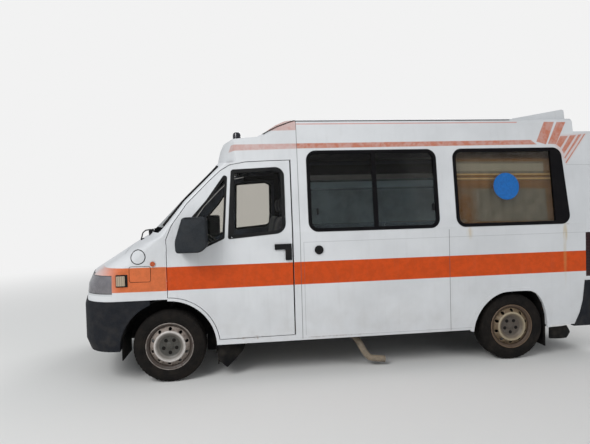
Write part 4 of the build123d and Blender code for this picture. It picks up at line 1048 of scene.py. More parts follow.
@dataclass
class RoadWheel:
    """One wheel: a treaded tyre on a vented steel rim, with its bolts; radii and reaches are in metres."""

    corner: str
    radius: float = HUB_HEIGHT
    grooves: tuple[float, ...] = (-0.045, -0.016, 0.016, 0.045)
    groove_deep: float = 0.007
    shoulder: tuple[float, float] = (0.3145, 0.068)
    notch_deep: float = 0.006
    steps: int = 216
    sidewall: Section = (
        (0.1865, 0.066), (0.2, 0.0705), (0.2085, 0.0715), (0.2105, 0.083), (0.216, 0.0875), (0.228, 0.0915),
        (0.231, 0.0905), (0.234, 0.0925), (0.25, 0.0945), (0.268, 0.0935), (0.282, 0.0905), (0.2835, 0.0885),
        (0.295, 0.087), (0.303, 0.083), (0.3095, 0.0765))
    face: Section = (
        (0.0, 0.0665), (0.026, 0.066), (0.031, 0.063), (0.0325, 0.059), (0.087, 0.059), (0.096, 0.063),
        (0.107, 0.0745), (0.118, 0.0865), (0.1245, 0.0915), (0.130, 0.0918), (0.1345, 0.0888))
    cone: Section = ((0.1375, 0.0845), (0.1725, 0.0565))
    barrel: Section = (
        (0.1755, 0.048), (0.1785, 0.052), (0.180, 0.062), (0.183, 0.0685), (0.190, 0.0740), (0.1995, 0.078),
        (0.2015, 0.083), (0.2045, 0.0842), (0.207, 0.082), (0.207, 0.078))
    back: Section = (
        (0.1785, 0.052), (0.176, -0.030), (0.180, -0.066), (0.190, -0.0745), (0.1995, -0.078),
        (0.2015, -0.083), (0.2055, -0.0842))
    vents: int = 10
    vent_pitch: float = 0.1535
    vent_radius: float = 0.0145
    vent_turn: float = math.radians(3)
    bolts: int = 5
    bolt_pitch: float = 0.059
    bolt_seat: tuple[float, ...] = (0.0168, 0.0622, 0.003, 32)  # radius, top, depth, corners
    bolt_head: tuple[float, ...] = (0.0108, 0.0665, 0.0045, 6)
    bolt_taper: float = 0.94

    def __post_init__(self) -> None:
        """Finds the wheel's middle and its side from its tyre in the frame."""
        low, high = (Vector(point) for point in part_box(self.corner + "_tyre"))
        self.centre = (low + high) / 2
        self.side = Side.LEFT if self.centre.y < 0 else Side.RIGHT

    def build(self, workshop: Workshop) -> None:
        """Builds the tyre, the rim and the bolts."""
        body = self.corner + "_wheel"
        tyre = workshop.piece(self.corner + "_treaded_tyre", self.tyre(), "tyre_rubber", body, 40)
        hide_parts(self.corner + "_tyre")
        paint = "rusted_wheel_paint" if self.corner.startswith("rear") else "silver_wheel_paint"
        rim = workshop.piece(self.corner + "_pressed_rim", self.rim(), paint, body)
        wall = rim.modifiers.new("wall", "SOLIDIFY")
        wall.thickness, wall.offset = 0.0036, 0.0
        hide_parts(self.corner + "_rim")
        workshop.piece(self.corner + "_wheel_bolts", self.bolt_set(), "rusty_wheel_hub", body, 30)

    def tyre(self) -> bmesh.types.BMesh:
        """The tyre's section with its grooves, turned, and its shoulders notched into blocks."""
        tread = [self.shoulder]
        crown, root = self.radius - 0.0003, self.radius - self.groove_deep
        for y in reversed(self.grooves):
            tread += [(crown, y + 0.0045), (root, y + 0.003), (root, y - 0.003), (crown, y - 0.0045)]
        far = [(r, -y) for r, y in reversed(self.sidewall + (self.shoulder,))]
        mesh = turned([*self.sidewall, *tread, *far], self.centre, self.steps)
        for vert in mesh.verts:
            offset = vert.co - self.centre
            across, reach = abs(offset.y), math.hypot(offset.x, offset.z)
            turn = round(math.atan2(offset.x, offset.z) / math.tau * self.steps) % 4
            if reach > 0.307 and across > 0.052 and turn == 0:
                scale = (reach - self.notch_deep) / reach
                vert.co = self.centre + Vector((offset.x * scale, offset.y, offset.z * scale))
        return mesh

    def rim(self) -> bmesh.types.BMesh:
        """The pressed disc: hub face, ridge, vented cone and the rolled barrel, as one sheet."""
        sections = (self.face + self.cone[:1], self.cone[1:] + self.barrel, self.back)
        parts = [turned([(r, y * self.side) for r, y in section], self.centre, 120, closed=False)
                 for section in sections]
        return clean(merged(*parts, self.vented_cone()), 2e-5)

    def vented_cone(self) -> bmesh.types.BMesh:
        """The cone between the ridge and the barrel, with its round holes: one sector, spun."""
        mesh = bmesh.new()
        sector = math.tau / self.vents
        ends = []
        for r, _ in self.cone:
            corner = mesh.verts.new(Matrix.Rotation(-sector / 2, 3, "Y") @ Vector((0, 0, r)))
            arc = bmesh.ops.spin(mesh, geom=[corner], cent=(0, 0, 0), axis=OUT, angle=sector, steps=12)
            ends.append((corner, arc["geom_last"][0]))
        for a, b in zip(*ends):
            mesh.edges.new((a, b))
        bmesh.ops.create_circle(mesh, segments=26, radius=self.vent_radius,
                                matrix=Matrix.Translation((0, 0, self.vent_pitch)) @ UPRIGHT)
        bmesh.ops.triangle_fill(mesh, use_beauty=True, edges=mesh.edges[:], normal=OUT)
        (r0, y0), (r1, y1) = self.cone
        for vert in mesh.verts:
            share = (math.hypot(vert.co.x, vert.co.z) - r0) / (r1 - r0)
            vert.co.y = (y0 + (y1 - y0) * share) * self.side
        others = self.vents - 1
        bmesh.ops.spin(mesh, geom=mesh.verts[:] + mesh.edges[:] + mesh.faces[:], cent=(0, 0, 0), axis=OUT,
                       angle=sector * others, steps=others, use_duplicate=True)
        turn = Matrix.Rotation(self.vent_turn, 4, "Y")
        bmesh.ops.transform(mesh, matrix=Matrix.Translation(self.centre) @ turn, verts=mesh.verts[:])
        return mesh

    def bolt_set(self) -> bmesh.types.BMesh:
        """The hexagon bolt heads, each on its round seat."""
        parts = []
        facing = Matrix.Rotation(-math.pi / 2 * self.side, 4, "X")
        for number in range(self.bolts):
            turn = math.pi + math.tau * number / self.bolts
            x, z = math.sin(turn) * self.bolt_pitch, math.cos(turn) * self.bolt_pitch
            for radius, top, depth, corners in (self.bolt_seat, self.bolt_head):
                spot = self.centre + Vector((x, (top - depth / 2) * self.side, z))
                head = bmesh.new()
                bmesh.ops.create_cone(head, cap_ends=True, segments=corners, radius1=radius,
                                      radius2=radius * self.bolt_taper, depth=depth,
                                      matrix=Matrix.Translation(spot) @ facing)
                parts.append(head)
        return merged(*parts)


@dataclass
class SideFittings:
    """The small things laid on the sides; stations and heights are in millimetres, the rest in metres."""

    flap: Corners = ((-315, 903), (-133, 900), (-131, 1038), (-314, 1041))
    ring: tuple[float, float, float] = (-236, 1120, 0.065)
    ring_width: float = 0.0075
    sign: tuple[float, float, float] = (3172, 1660, 0.128)
    front_latch: tuple[float, ...] = (1338, 1356, 1440, 1500, 0.008)
    rear_latch: tuple[float, ...] = (2428, 2450, 1450, 1516, 0.009)
    roof_bead: tuple[float, ...] = (1172, 3262, 2300, 2307)
    cap_bead: Corners = ((872, 2186), (1000, 2252), (1172, 2316))
    fuel_cap: tuple[float, float, float] = (1345, 1125, 0.04)
    door_rail: tuple[float, ...] = (2590, 3900, 1216, 1244)
    door_handle: tuple[float, ...] = (1250, 1290, 1020, 1160, 0.012)
    arch_runs: tuple[Corners, ...] = (
        ((2798, 300), (2818, 500), (2985, 652), (3130, 660)), ((3130, 660), (3200, 664), (3290, 664), (3360, 660)),
        ((3360, 660), (3470, 648), (3534, 500), (3538, 300)))
    lip_width: float = 34
    lip_reach: tuple[float, float] = (0.9775, 0.9985)

    def build(self, workshop: Workshop) -> None:
        """Builds each fitting on the skin that carries it."""
        wings = Skin("front_wings", "cab_shell", "bonnet")
        glass = Skin("side_glass")
        load = Skin("load_shell", "side_door", "high_roof", "cab_roof_cap")
        flap = rim_only(outline(self.flap, 0.018), 0.0035)
        wings.lay(flap, Side.LEFT, 0.0012)
        workshop.piece("wing_flap_seam", flap, "black_sealing_rubber")
        for side in Side:
            ring = rim_only(disc(*self.ring, 72), self.ring_width)
            wings.lay(ring, side, 0.0012)
            workshop.piece(side.word + "_wing_ring", ring, "black_moulded_plastic")
            sign = disc(*self.sign, 72)
            glass.lay(sign, side, 0.0018)
            workshop.piece(side.word + "_window_sign", sign, "sign_blue_film")
            latches = merged(rectangle(*self.front_latch), rectangle(*self.rear_latch))
            glass.lay(latches, side, 0.012)
            workshop.piece(side.word + "_window_latches", latches, "black_moulded_plastic",
                           bevel=0.003)
            bead = merged(strip(*self.roof_bead, 60), ribbon(self.cap_bead, 7))
            load.lay(bead, side, 0.005)
            workshop.piece(side.word + "_roof_bead", bead, "black_sealing_rubber")
            workshop.piece(side.word + "_rear_arch_lip", self.arch_lip(side), "white_coach_paint",
                           bevel=0.002)
        for name, shape, side, proud, bevel, segments in (
                ("fuel_cap", disc(*self.fuel_cap), Side.LEFT, 0.012, 0.004, 3),
                ("side_door_rail", strip(*self.door_rail, 30), Side.RIGHT, 0.004, 0.0015, 2),
                ("side_door_handle", rectangle(*self.door_handle), Side.RIGHT, 0.022, 0.006, 3)):
            load.lay(shape, side, proud)
            workshop.piece(name, shape, "black_moulded_plastic", bevel=bevel, segments=segments)

    def arch_lip(self, side: int) -> bmesh.types.BMesh:
        """The rolled lip round a rear wheel opening, on a smooth curve just inside the cut."""
        line = []
        for run in self.arch_runs:
            line += [(spot.x, spot.y) for spot in interpolate_bezier(*(Vector(point) for point in run), 14)][:-1]
        mesh = ribbon(line + [self.arch_runs[-1][-1]], -self.lip_width, 1)
        inner, outer = self.lip_reach
        for vert in mesh.verts:
            vert.co.y = side * inner
        thicken(mesh, (0, side * (outer - inner), 0))
        return mesh


@dataclass
class WindowFrames:
    """The smooth black rubber frame round each front door's drop window."""

    corners: Corners = ((536, 1246), (1052, 1289), (1052, 1884), (578, 1864))
    width: float = 0.031

    def build(self, workshop: Workshop) -> None:
        """Lays a frame on each door."""
        for side in Side:
            rubber = outline(self.corners)
            round_off(rubber, [vert for vert in rubber.verts if vert.co.x > at(1000)], 0.085, 10, "VERTICES")
            round_off(rubber, [vert for vert in rubber.verts if vert.co.x < at(600)], 0.022, 5, "VERTICES")
            edges = [edge for edge in rubber.edges if edge.calc_length() > 0.1]
            bmesh.ops.subdivide_edges(rubber, edges=edges, cuts=9)
            rim_only(rubber, self.width)
            door = side.word + "_door"
            Skin(door, door + "_trim", door + "_glass").lay(rubber, side, 0.0025)
            workshop.piece(side.word + "_window_frame", rubber, "black_moulded_plastic",
                           side.word + "_front_door")


@dataclass
class Exhaust:
    """The pipe under the floor with its silencer, and the bent tail that shows under the sill."""

    route: tuple[Stop, ...] = (
        (134, -0.260, 0.360), (350, -0.260, 0.290), (1560, -0.260, 0.290), (1610, -0.48, 0.290),
        (1680, -0.70, 0.280), (1716, -0.868, 0.250), (1752, -0.872, 0.172), (1804, -0.873, 0.092),
        (1858, -0.873, 0.070), (1968, -0.874, 0.060))
    pipe_radius: float = 0.030
    wall: float = 0.003
    silencer: tuple[float, float] = (850, 1450)
    silencer_radius: float = 0.085

    def build(self, workshop: Workshop) -> None:
        """Builds the pipe, the silencer and its hanger as one piece."""
        _, y, z = self.route[1]
        front, rear = self.silencer
        silencer = rod((at(front), y, z), (at(rear), y, z), self.silencer_radius, 40)
        ends = [edge for edge in silencer.edges if len(edge.link_faces) == 2 and edge.calc_face_angle() > 1]
        round_off(silencer, ends, 0.012, 3)
        hanger = block((at(front + 50), y - 0.015, 0.36), (at(front + 90), y + 0.015, 0.43))
        pipe = workshop.piece("exhaust_pipe", merged(self.tube(), silencer, hanger), "dusty_exhaust_steel")
        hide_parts("exhaust")

    def tube(self) -> bmesh.types.BMesh:
        """The pipe swept along its route, with its wall showing at the open end."""
        curve = bpy.data.curves.new("pipe_route", "CURVE")
        curve.dimensions = "3D"
        spline = curve.splines.new("NURBS")
        spline.points.add(len(self.route) - 1)
        for point, (s, y, z) in zip(spline.points, self.route):
            point.co = (at(s), y, z, 1)
        spline.order_u = 3
        spline.use_endpoint_u = True
        spline.resolution_u = 8
        curve.bevel_depth, curve.bevel_resolution = self.pipe_radius, 6
        holder = bpy.data.objects.new("pipe_route", curve)
        bpy.context.scene.collection.objects.link(holder)
        graph = bpy.context.evaluated_depsgraph_get()
        data = bpy.data.meshes.new_from_object(holder.evaluated_get(graph))
        mesh = bmesh.new()
        mesh.from_mesh(data)
        bpy.data.objects.remove(holder)
        bpy.data.meshes.remove(data)
        clean(mesh, 1e-5)
        bmesh.ops.solidify(mesh, geom=mesh.faces[:], thickness=self.wall)
        return mesh


@dataclass
class RubberSeals:
    """The black rubber behind the front doors' windows and along the screen's upright edges."""

    door_post: tuple[float, ...] = (1088, 1146, 1240, 1975)
    door_top: Corners = ((700, 1934), (932, 1942), (1145, 1946))
    door_inset: float = 0.052
    door_thickness: float = 0.006
    screen_start: float = 1.322
    screen_step: float = 0.0525
    screen_steps: int = 13
    screen_inset: float = 0.012
    screen_radius: float = 0.021

    def build(self, workshop: Workshop) -> None:
        """Builds both doors' seals and the screen's."""
        for side in Side:
            strips = [strip(*self.door_post, 12), ribbon(self.door_top, 60, 8)]
            for mesh in strips:
                for vert in mesh.verts:
                    vert.co.y = side * wall_reach(vert.co.z, self.door_inset)
                thicken(mesh, (0, -side * self.door_thickness, 0))
            workshop.piece(side.word + "_door_seal", merged(*strips), "black_sealing_rubber")
        seals = [part for side in Side for part in self.screen_edge(side)]
        workshop.piece("windscreen_edge_seals", merged(*seals), "black_sealing_rubber")

    def screen_edge(self, side: int) -> list[bmesh.types.BMesh]:
        """Rods along one edge of the screen, each a little thinner so that no two faces meet in one plane."""
        screen = Skin("windscreen")
        line = []
        for step in range(self.screen_steps):
            z = self.screen_start + step * self.screen_step
            y = side * (SCREEN_HALF - SCREEN_LEAN * (z - SCREEN_FOOT) - self.screen_inset)
            x = screen.depth(y, z, -1)
            if x is not None:
                line.append((x - 0.003, y, z))
        return [rod(a, b, self.screen_radius - 0.0005 * number)
                for number, (a, b) in enumerate(zip(line, line[1:]))]


@dataclass
class WheelHouses:
    """The front wheel houses' liners, with black walls inside the wheels that also stand for the shade under the
    body, and the two loose flaps behind the left wheels.
    """

    splash_shield: tuple[tuple[float, float], ...] = ((404, 411), (0.64, 0.955), (0.235, 0.50))
    # walls inside the front wheels: partly inner wings, partly a dark sheet standing for the shade under the body
    inner_rear_shade_wall: tuple[tuple[float, float], ...] = ((300, 560), (0.575, 0.582), (0.16, 0.52))
    inner_front_shade_wall: tuple[tuple[float, float], ...] = ((-560, -300), (0.575, 0.582), (0.33, 0.52))
    front_plate: tuple[tuple[float, float], ...] = ((-406, -399), (0.62, 0.955), (0.215, 0.50))
    front_flap: Corners = ((427, 318), (690, 312), (637, 214), (495, 92), (427, 166))
    rear_flap: Corners = ((3600, 283), (3826, 276), (3888, 199), (3824, 151), (3598, 171))
    flap_thickness: float = 0.007

    def build(self, workshop: Workshop) -> None:
        """Builds the liners and the black shade walls as one piece, then each flap."""
        liners = [side_block(side, *self.splash_shield) for side in Side]
        for side in Side:
            liners += [side_block(side, *part) for part in (self.inner_rear_shade_wall, self.inner_front_shade_wall, self.front_plate)]
        workshop.piece("front_wheel_house_liners_and_shade_walls", merged(*liners), "black_sealing_rubber",
                       bevel=0.002)
        for name, corners, start, end in (("left_front_loose_flap", self.front_flap, -0.938, -0.80),
                                          ("left_rear_loose_flap", self.rear_flap, -0.930, -0.84)):
            workshop.piece(name, self.flap(corners, start, end), "black_sealing_rubber")

    def flap(self, corners: Corners, start: float, end: float) -> bmesh.types.BMesh:
        """A flap that bends inwards to its rear, from one y to another."""
        sheet = outline(corners, 0.012, 3)
        first, last = at(min(s for s, _ in corners)), at(max(s for s, _ in corners))
        slice_across(sheet, AFT, first, last, 10)
        for vert in sheet.verts:
            share = (vert.co.x - first) / (last - first)
            vert.co.y = start + (end - start) * share * share
        thicken(sheet, (0, self.flap_thickness, 0))
        return sheet


@dataclass
class EndFittings:
    """What the front and rear ends carry: blank plates, wiper arms, the rear handle and the steering wheel."""

    plate_half: tuple[float, float] = (0.26, 0.055)
    front_plate: tuple[float, float] = (0.0, 0.665)
    rear_plate: tuple[float, float] = (-0.40, 0.655)
    handle: tuple[float, ...] = (0.05, 0.17, 1.02, 1.06)
    handle_thickness: float = 0.006
    wipers: tuple[tuple[Stop, Stop], ...] = (
        ((-206, -0.560, 1.3275), (-232, -0.328, 1.3275)), ((-268, 0.060, 1.3275), (-234, 0.295, 1.3275)))
    pivot: tuple[float, float, float] = (1.300, 1.3335, 0.015)  # foot, top and radius
    bow: Corners = ((-286, 1256), (-272, 1312), (-244, 1336), (-196, 1342), (-160, 1326))
    bow_y: float = -0.585
    wheel_centre: Stop = (395, -0.41, 1.195)
    wheel_radius: float = 0.2
    wheel_thickness: float = 0.0135
    wheel_lean: float = math.radians(34)

    def build(self, workshop: Workshop) -> None:
        """Builds each fitting."""
        across, up = self.plate_half
        for name, (y, z), end, proud, node, body in (
                ("front_blank_plate", self.front_plate, -1, 0.0004, "front_bumper", "body"),
                ("rear_blank_plate", self.rear_plate, 1, 0.002, "rear_left_door", "rear_left_leaf")):
            plate = self.sheet(y - across, y + across, z - up, z + up, end, 0.008)
            Skin(node).lay_end(plate, end, proud)
            workshop.piece(name, plate, "plain_plate_enamel", body, bevel=0.0015)
        grip = self.sheet(*self.handle, 1, 0.006)
        Skin("rear_right_door").lay_end(grip, 1, -self.handle_thickness)
        workshop.piece("rear_door_handle", grip, "black_moulded_plastic", "rear_right_leaf")
        workshop.piece("wiper_arms", self.wiper_arms(), "black_moulded_plastic", bevel=0.001)
        workshop.piece("steering_wheel", self.steering_wheel(), "grey_moulded_plastic", smooth=60)

    def wiper_arms(self) -> bmesh.types.BMesh:
        """Each wiper's arm on its pivot, and the bow at the screen's left foot on its rail."""
        arms = []
        foot, top, thick = self.pivot
        for (s0, y0, z0), (s1, y1, z1) in self.wipers:
            arms.append(rod((at(s0), y0, z0), (at(s1), y1, z1), 0.0062))
            arms.append(rod((at(s0), y0, foot), (at(s0), y0, top), thick, 20))
        spots = [(at(s), self.bow_y, z / 1000) for s, z in self.bow]
        arms += [rod(a, b, 0.0058) for a, b in zip(spots, spots[1:])]
        arms.append(block((at(-290), self.bow_y - 0.015, 1.246), (at(-150), self.bow_y + 0.02, 1.262)))
        return merged(*arms)

    def sheet(self, y0: float, y1: float, z0: float, z1: float, end: int, radius: float) -> bmesh.types.BMesh:
        """A rounded flat sheet in the plane of y and z, cut across its width."""
        mesh = bmesh.new()
        start = end * 2.2  # short of either end, where points off the skin would stay
        mesh.faces.new([mesh.verts.new((start, y, z)) for y, z in ((y0, z0), (y1, z0), (y1, z1), (y0, z1))])
        round_off(mesh, mesh.verts[:], radius, 4, "VERTICES")
        slice_across(mesh, OUT, y0, y1, 12)
        return mesh

    def steering_wheel(self) -> bmesh.types.BMesh:
        """A padded ring with two spokes and a hub on its column, leaning towards the driver."""
        ring = bmesh.new()
        bmesh.ops.create_circle(ring, segments=14, radius=self.wheel_thickness,
                                matrix=Matrix.Translation((self.wheel_radius, 0, 0)) @ UPRIGHT)
        bmesh.ops.spin(ring, geom=ring.verts[:] + ring.edges[:], cent=(0, 0, 0), axis=UP, angle=math.tau,
                       steps=56, use_merge=True)
        clean(ring)
        spokes = block((-0.018, -0.19, -0.010), (0.018, 0.19, 0.006))
        hub = block((-0.06, -0.075, -0.03), (0.06, 0.075, 0.016))
        for part, radius in ((spokes, 0.005), (hub, 0.018)):
            round_off(part, part.edges[:], radius, 3)
        column = rod((0, 0, -0.34), (0, 0, 0.0), 0.032, 24)
        mesh = merged(ring, spokes, hub, column)
        station, y, z = self.wheel_centre
        lean = Matrix.Translation((at(station), y, z)) @ Matrix.Rotation(self.wheel_lean, 4, "Y")
        bmesh.ops.transform(mesh, matrix=lean, verts=mesh.verts[:])
        return mesh


@dataclass
class SignalLamps:
    """The wing flashers and repeaters, and the domes on the cab roof."""

    frame: tuple[float, ...] = (-427, -328, 866, 972, 0.006)
    lens: tuple[float, ...] = (-419, -346, 876, 962, 0.006)
    repeater: tuple[float, float, float] = (-112, 1056, 0.021)
    dome_reach: float = 0.64
    dome_growth: float = 1.42  # the photograph's dome against the plain one in the frame
    foot: Section = ((0.046, 0.0), (0.046, 0.014), (0.041, 0.018), (0.0385, 0.02))
    cap: Section = ((0.0385, 0.72), (0.034, 0.9), (0.022, 0.985), (0.0, 1.0))  # its heights are shares

    def build(self, workshop: Workshop) -> None:
        """Builds both kinds."""
        wings = Skin("front_wings", "wing_flashers")
        frames, lenses, rounds = [], [], []
        for side in Side:
            for made, shape, proud in ((frames, rectangle(*self.frame), 0.006),
                                       (lenses, rectangle(*self.lens), 0.0105),
                                       (rounds, disc(*self.repeater), 0.009)):
                wings.lay(shape, side, proud)
                made.append(shape)
        backing = workshop.piece("wing_flasher_frames", merged(*frames), "black_moulded_plastic",
                                 bevel=0.002)
        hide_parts("wing_flashers")
        workshop.piece("wing_flasher_lenses", merged(*lenses), "pale_flasher_lens", bevel=0.003)
        workshop.piece("side_repeaters", merged(*rounds), "amber_lamp_lens", bevel=0.004, segments=4)
        low, high = (Vector(point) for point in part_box("beacons"))
        tall = (high.z - low.z) * self.dome_growth
        section = [*self.foot, *((r, tall * share) for r, share in self.cap)]
        domes = [turned(section, Vector(((low.x + high.x) / 2, side * self.dome_reach, low.z)), 48, False, UP)
                 for side in Side]
        dome = workshop.piece("beacon_domes", merged(*domes), "blue_dome_lens", smooth=40)
        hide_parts("beacons")


@dataclass
class DoorMirror:
    """A front door's mirror: a rounded housing, its arm on the door and the silvered glass."""

    side: Side
    low: tuple[float, float] = (104.0, 1152.0)
    high: tuple[float, float] = (372.0, 1452.0)
    inner: float = 1.02
    outer: float = 1.21
    pane_margin: float = 0.038

    def build(self, workshop: Workshop) -> None:
        """Builds the housing, the arm and the glass."""
        word, body = self.side.word, self.side.word + "_front_door"
        shell = workshop.piece(word + "_mirror_housing", merged(self.head(), self.arm()), "slate_mirror_plastic",
                               body, 40)
        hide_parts(word + "_mirror")
        (_, z0), (s1, z1) = self.low, self.high
        reach = (self.inner + self.pane_margin, self.outer - self.pane_margin)
        pane = side_block(self.side, (s1 - 22, s1 - 14), reach, (z0 / 1000 + 0.082, z1 / 1000 - 0.040))
        workshop.piece(word + "_mirror_pane", pane, "mirror_silver", body, bevel=0.002)

    def head(self) -> bmesh.types.BMesh:
        """The housing: its outline grown outwards, leaning back at the front, with a sunk rear face."""
        (s0, z0), (s1, z1) = self.low, self.high
        head = outline(((s0 + 64, z1), (s1 - 4, z1), (s1 - 4, z0 + 46), (s1 - 56, z0 + 4), (s0 + 2, z0),
                        (s0 - 4, z0 + 96)), 0.026)
        far = thicken(head, (0, self.side * (self.outer - self.inner), 0))
        for vert in head.verts:
            lean = 0.035 * max(0.0, (at(s0 + 120) - vert.co.x) / 0.12)
            vert.co.y = self.side * (self.outer - lean if vert in far else self.inner)
        bmesh.ops.recalc_face_normals(head, faces=head.faces[:])
        rims = [edge for edge in head.edges if len({vert in far for vert in edge.verts}) == 1]
        round_off(head, rims, 0.018, 5)
        rear = [face for face in head.faces if face.normal.x > 0.99 and face.calc_area() > 0.02]
        bmesh.ops.inset_region(head, faces=rear, thickness=0.008, use_boundary=True, use_even_offset=True)
        sunk = {vert for face in rear for vert in face.verts}
        bmesh.ops.translate(head, vec=(-0.012, 0, 0), verts=list(sunk))
        return head

    def arm(self) -> bmesh.types.BMesh:
        """The arm between the housing and the door, with its upper front corner cut back."""
        arm = side_block(self.side, (98, 230), (0.995, 1.06), (1.172, 1.292))
        for vert in arm.verts:
            if vert.co.x < at(160) and vert.co.z > 1.25:
                vert.co.x += 0.035
        round_off(arm, arm.edges[:], 0.014, 3)
        return arm


@dataclass
class Pad:
    """A stuffed pad: a block that cloth simulation swells."""

    name: str
    low: Point
    high: Point
    lean: float = 0.0
    voxel: float = 0.014
    pressure: float = 4.0
    frames: int = 20
    margin: float = 0.010
    swell: float = 0.016

    def build(self, workshop: Workshop, finish: str) -> bpy.types.Object:
        """Args:
            workshop: Makes the object.
            finish: The cloth's material.

        Returns:
            The pad.
        """
        low, high = Vector(self.low), Vector(self.high)
        shrink = Vector([self.margin] * 3)
        mesh = block(low + shrink, high - shrink)
        round_off(mesh, mesh.edges[:], 0.022, 3)
        pivot = Vector(((low.x + high.x) / 2, 0, low.z))
        bmesh.ops.rotate(mesh, cent=pivot, matrix=Matrix.Rotation(self.lean, 3, "Y"), verts=mesh.verts[:])
        pad = workshop.piece(self.name, mesh, finish, smooth=180)
        remesh = pad.modifiers.new("remesh", "REMESH")
        remesh.mode, remesh.voxel_size = "VOXEL", self.voxel
        self.apply(pad)
        start = [vert.co.copy() for vert in pad.data.vertices]
        self.simulate(pad)
        for vert, first in zip(pad.data.vertices, start):
            move = vert.co - first
            if move.length > self.swell:
                vert.co = first + move.normalized() * self.swell
        pad.data.polygons.foreach_set("use_smooth", [True] * len(pad.data.polygons))
        smooth = pad.modifiers.new("soften", "SUBSURF")
        smooth.levels = smooth.render_levels = 1
        return pad

    def simulate(self, pad: bpy.types.Object) -> None:
        """Blows the pad up as weightless cloth and fixes the result into its mesh."""
        cloth = pad.modifiers.new("cloth", "CLOTH")
        cloth.settings.use_pressure = True
        cloth.settings.uniform_pressure_force = self.pressure
        cloth.settings.effector_weights.gravity = 0
        cloth.point_cache.frame_end = self.frames
        for number in range(1, self.frames + 1):
            bpy.context.scene.frame_set(number)
        self.apply(pad)
        bpy.context.scene.frame_set(1)

    def apply(self, pad: bpy.types.Object) -> None:
        """Fixes the pad's modifiers into its mesh."""
        graph = bpy.context.evaluated_depsgraph_get()
        settled = bpy.data.meshes.new_from_object(pad.evaluated_get(graph))
        pad.modifiers.clear()
        pad.data = settled


@dataclass
class CabSeats:
    """The driver's seat and the double seat: pedestals, cushions, backs and head pads."""

    places: tuple[tuple[float, float], ...] = ((-0.64, -0.18), (-0.08, 0.80))
    heads: tuple[float, ...] = (-0.41, 0.13, 0.59)
    head_half: float = 0.13
    floor: float = 0.52
    seat: float = 0.762
    back_lean: float = 0.17

    def build(self, workshop: Workshop) -> None:
        """Builds every pad and the pedestals."""
        bases = [block((at(560), y0 + 0.04, self.floor), (at(1000), y1 - 0.04, self.seat))
                 for y0, y1 in self.places]
        pedestal = workshop.piece("seat_pedestals", merged(*bases), "grey_moulded_plastic",
                                  bevel=0.012)
        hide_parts("seats")
        pads = []
        for i, (y0, y1) in enumerate(self.places, 1):
            pads.append(Pad(f"seat_cushion_{i}", (at(515), y0, self.seat), (at(985), y1, self.seat + 0.15)))
            pads.append(Pad(f"seat_back_{i}", (at(935), y0, 0.905), (at(1045), y1, 1.45), self.back_lean))
        for i, y in enumerate(self.heads, 1):
            pads.append(Pad(f"head_pad_{i}", (at(1074), y - self.head_half, 1.462),
                            (at(1150), y + self.head_half, 1.632), voxel=0.01))
        for pad in pads:
            pad.build(workshop, "navy_seat_cloth")


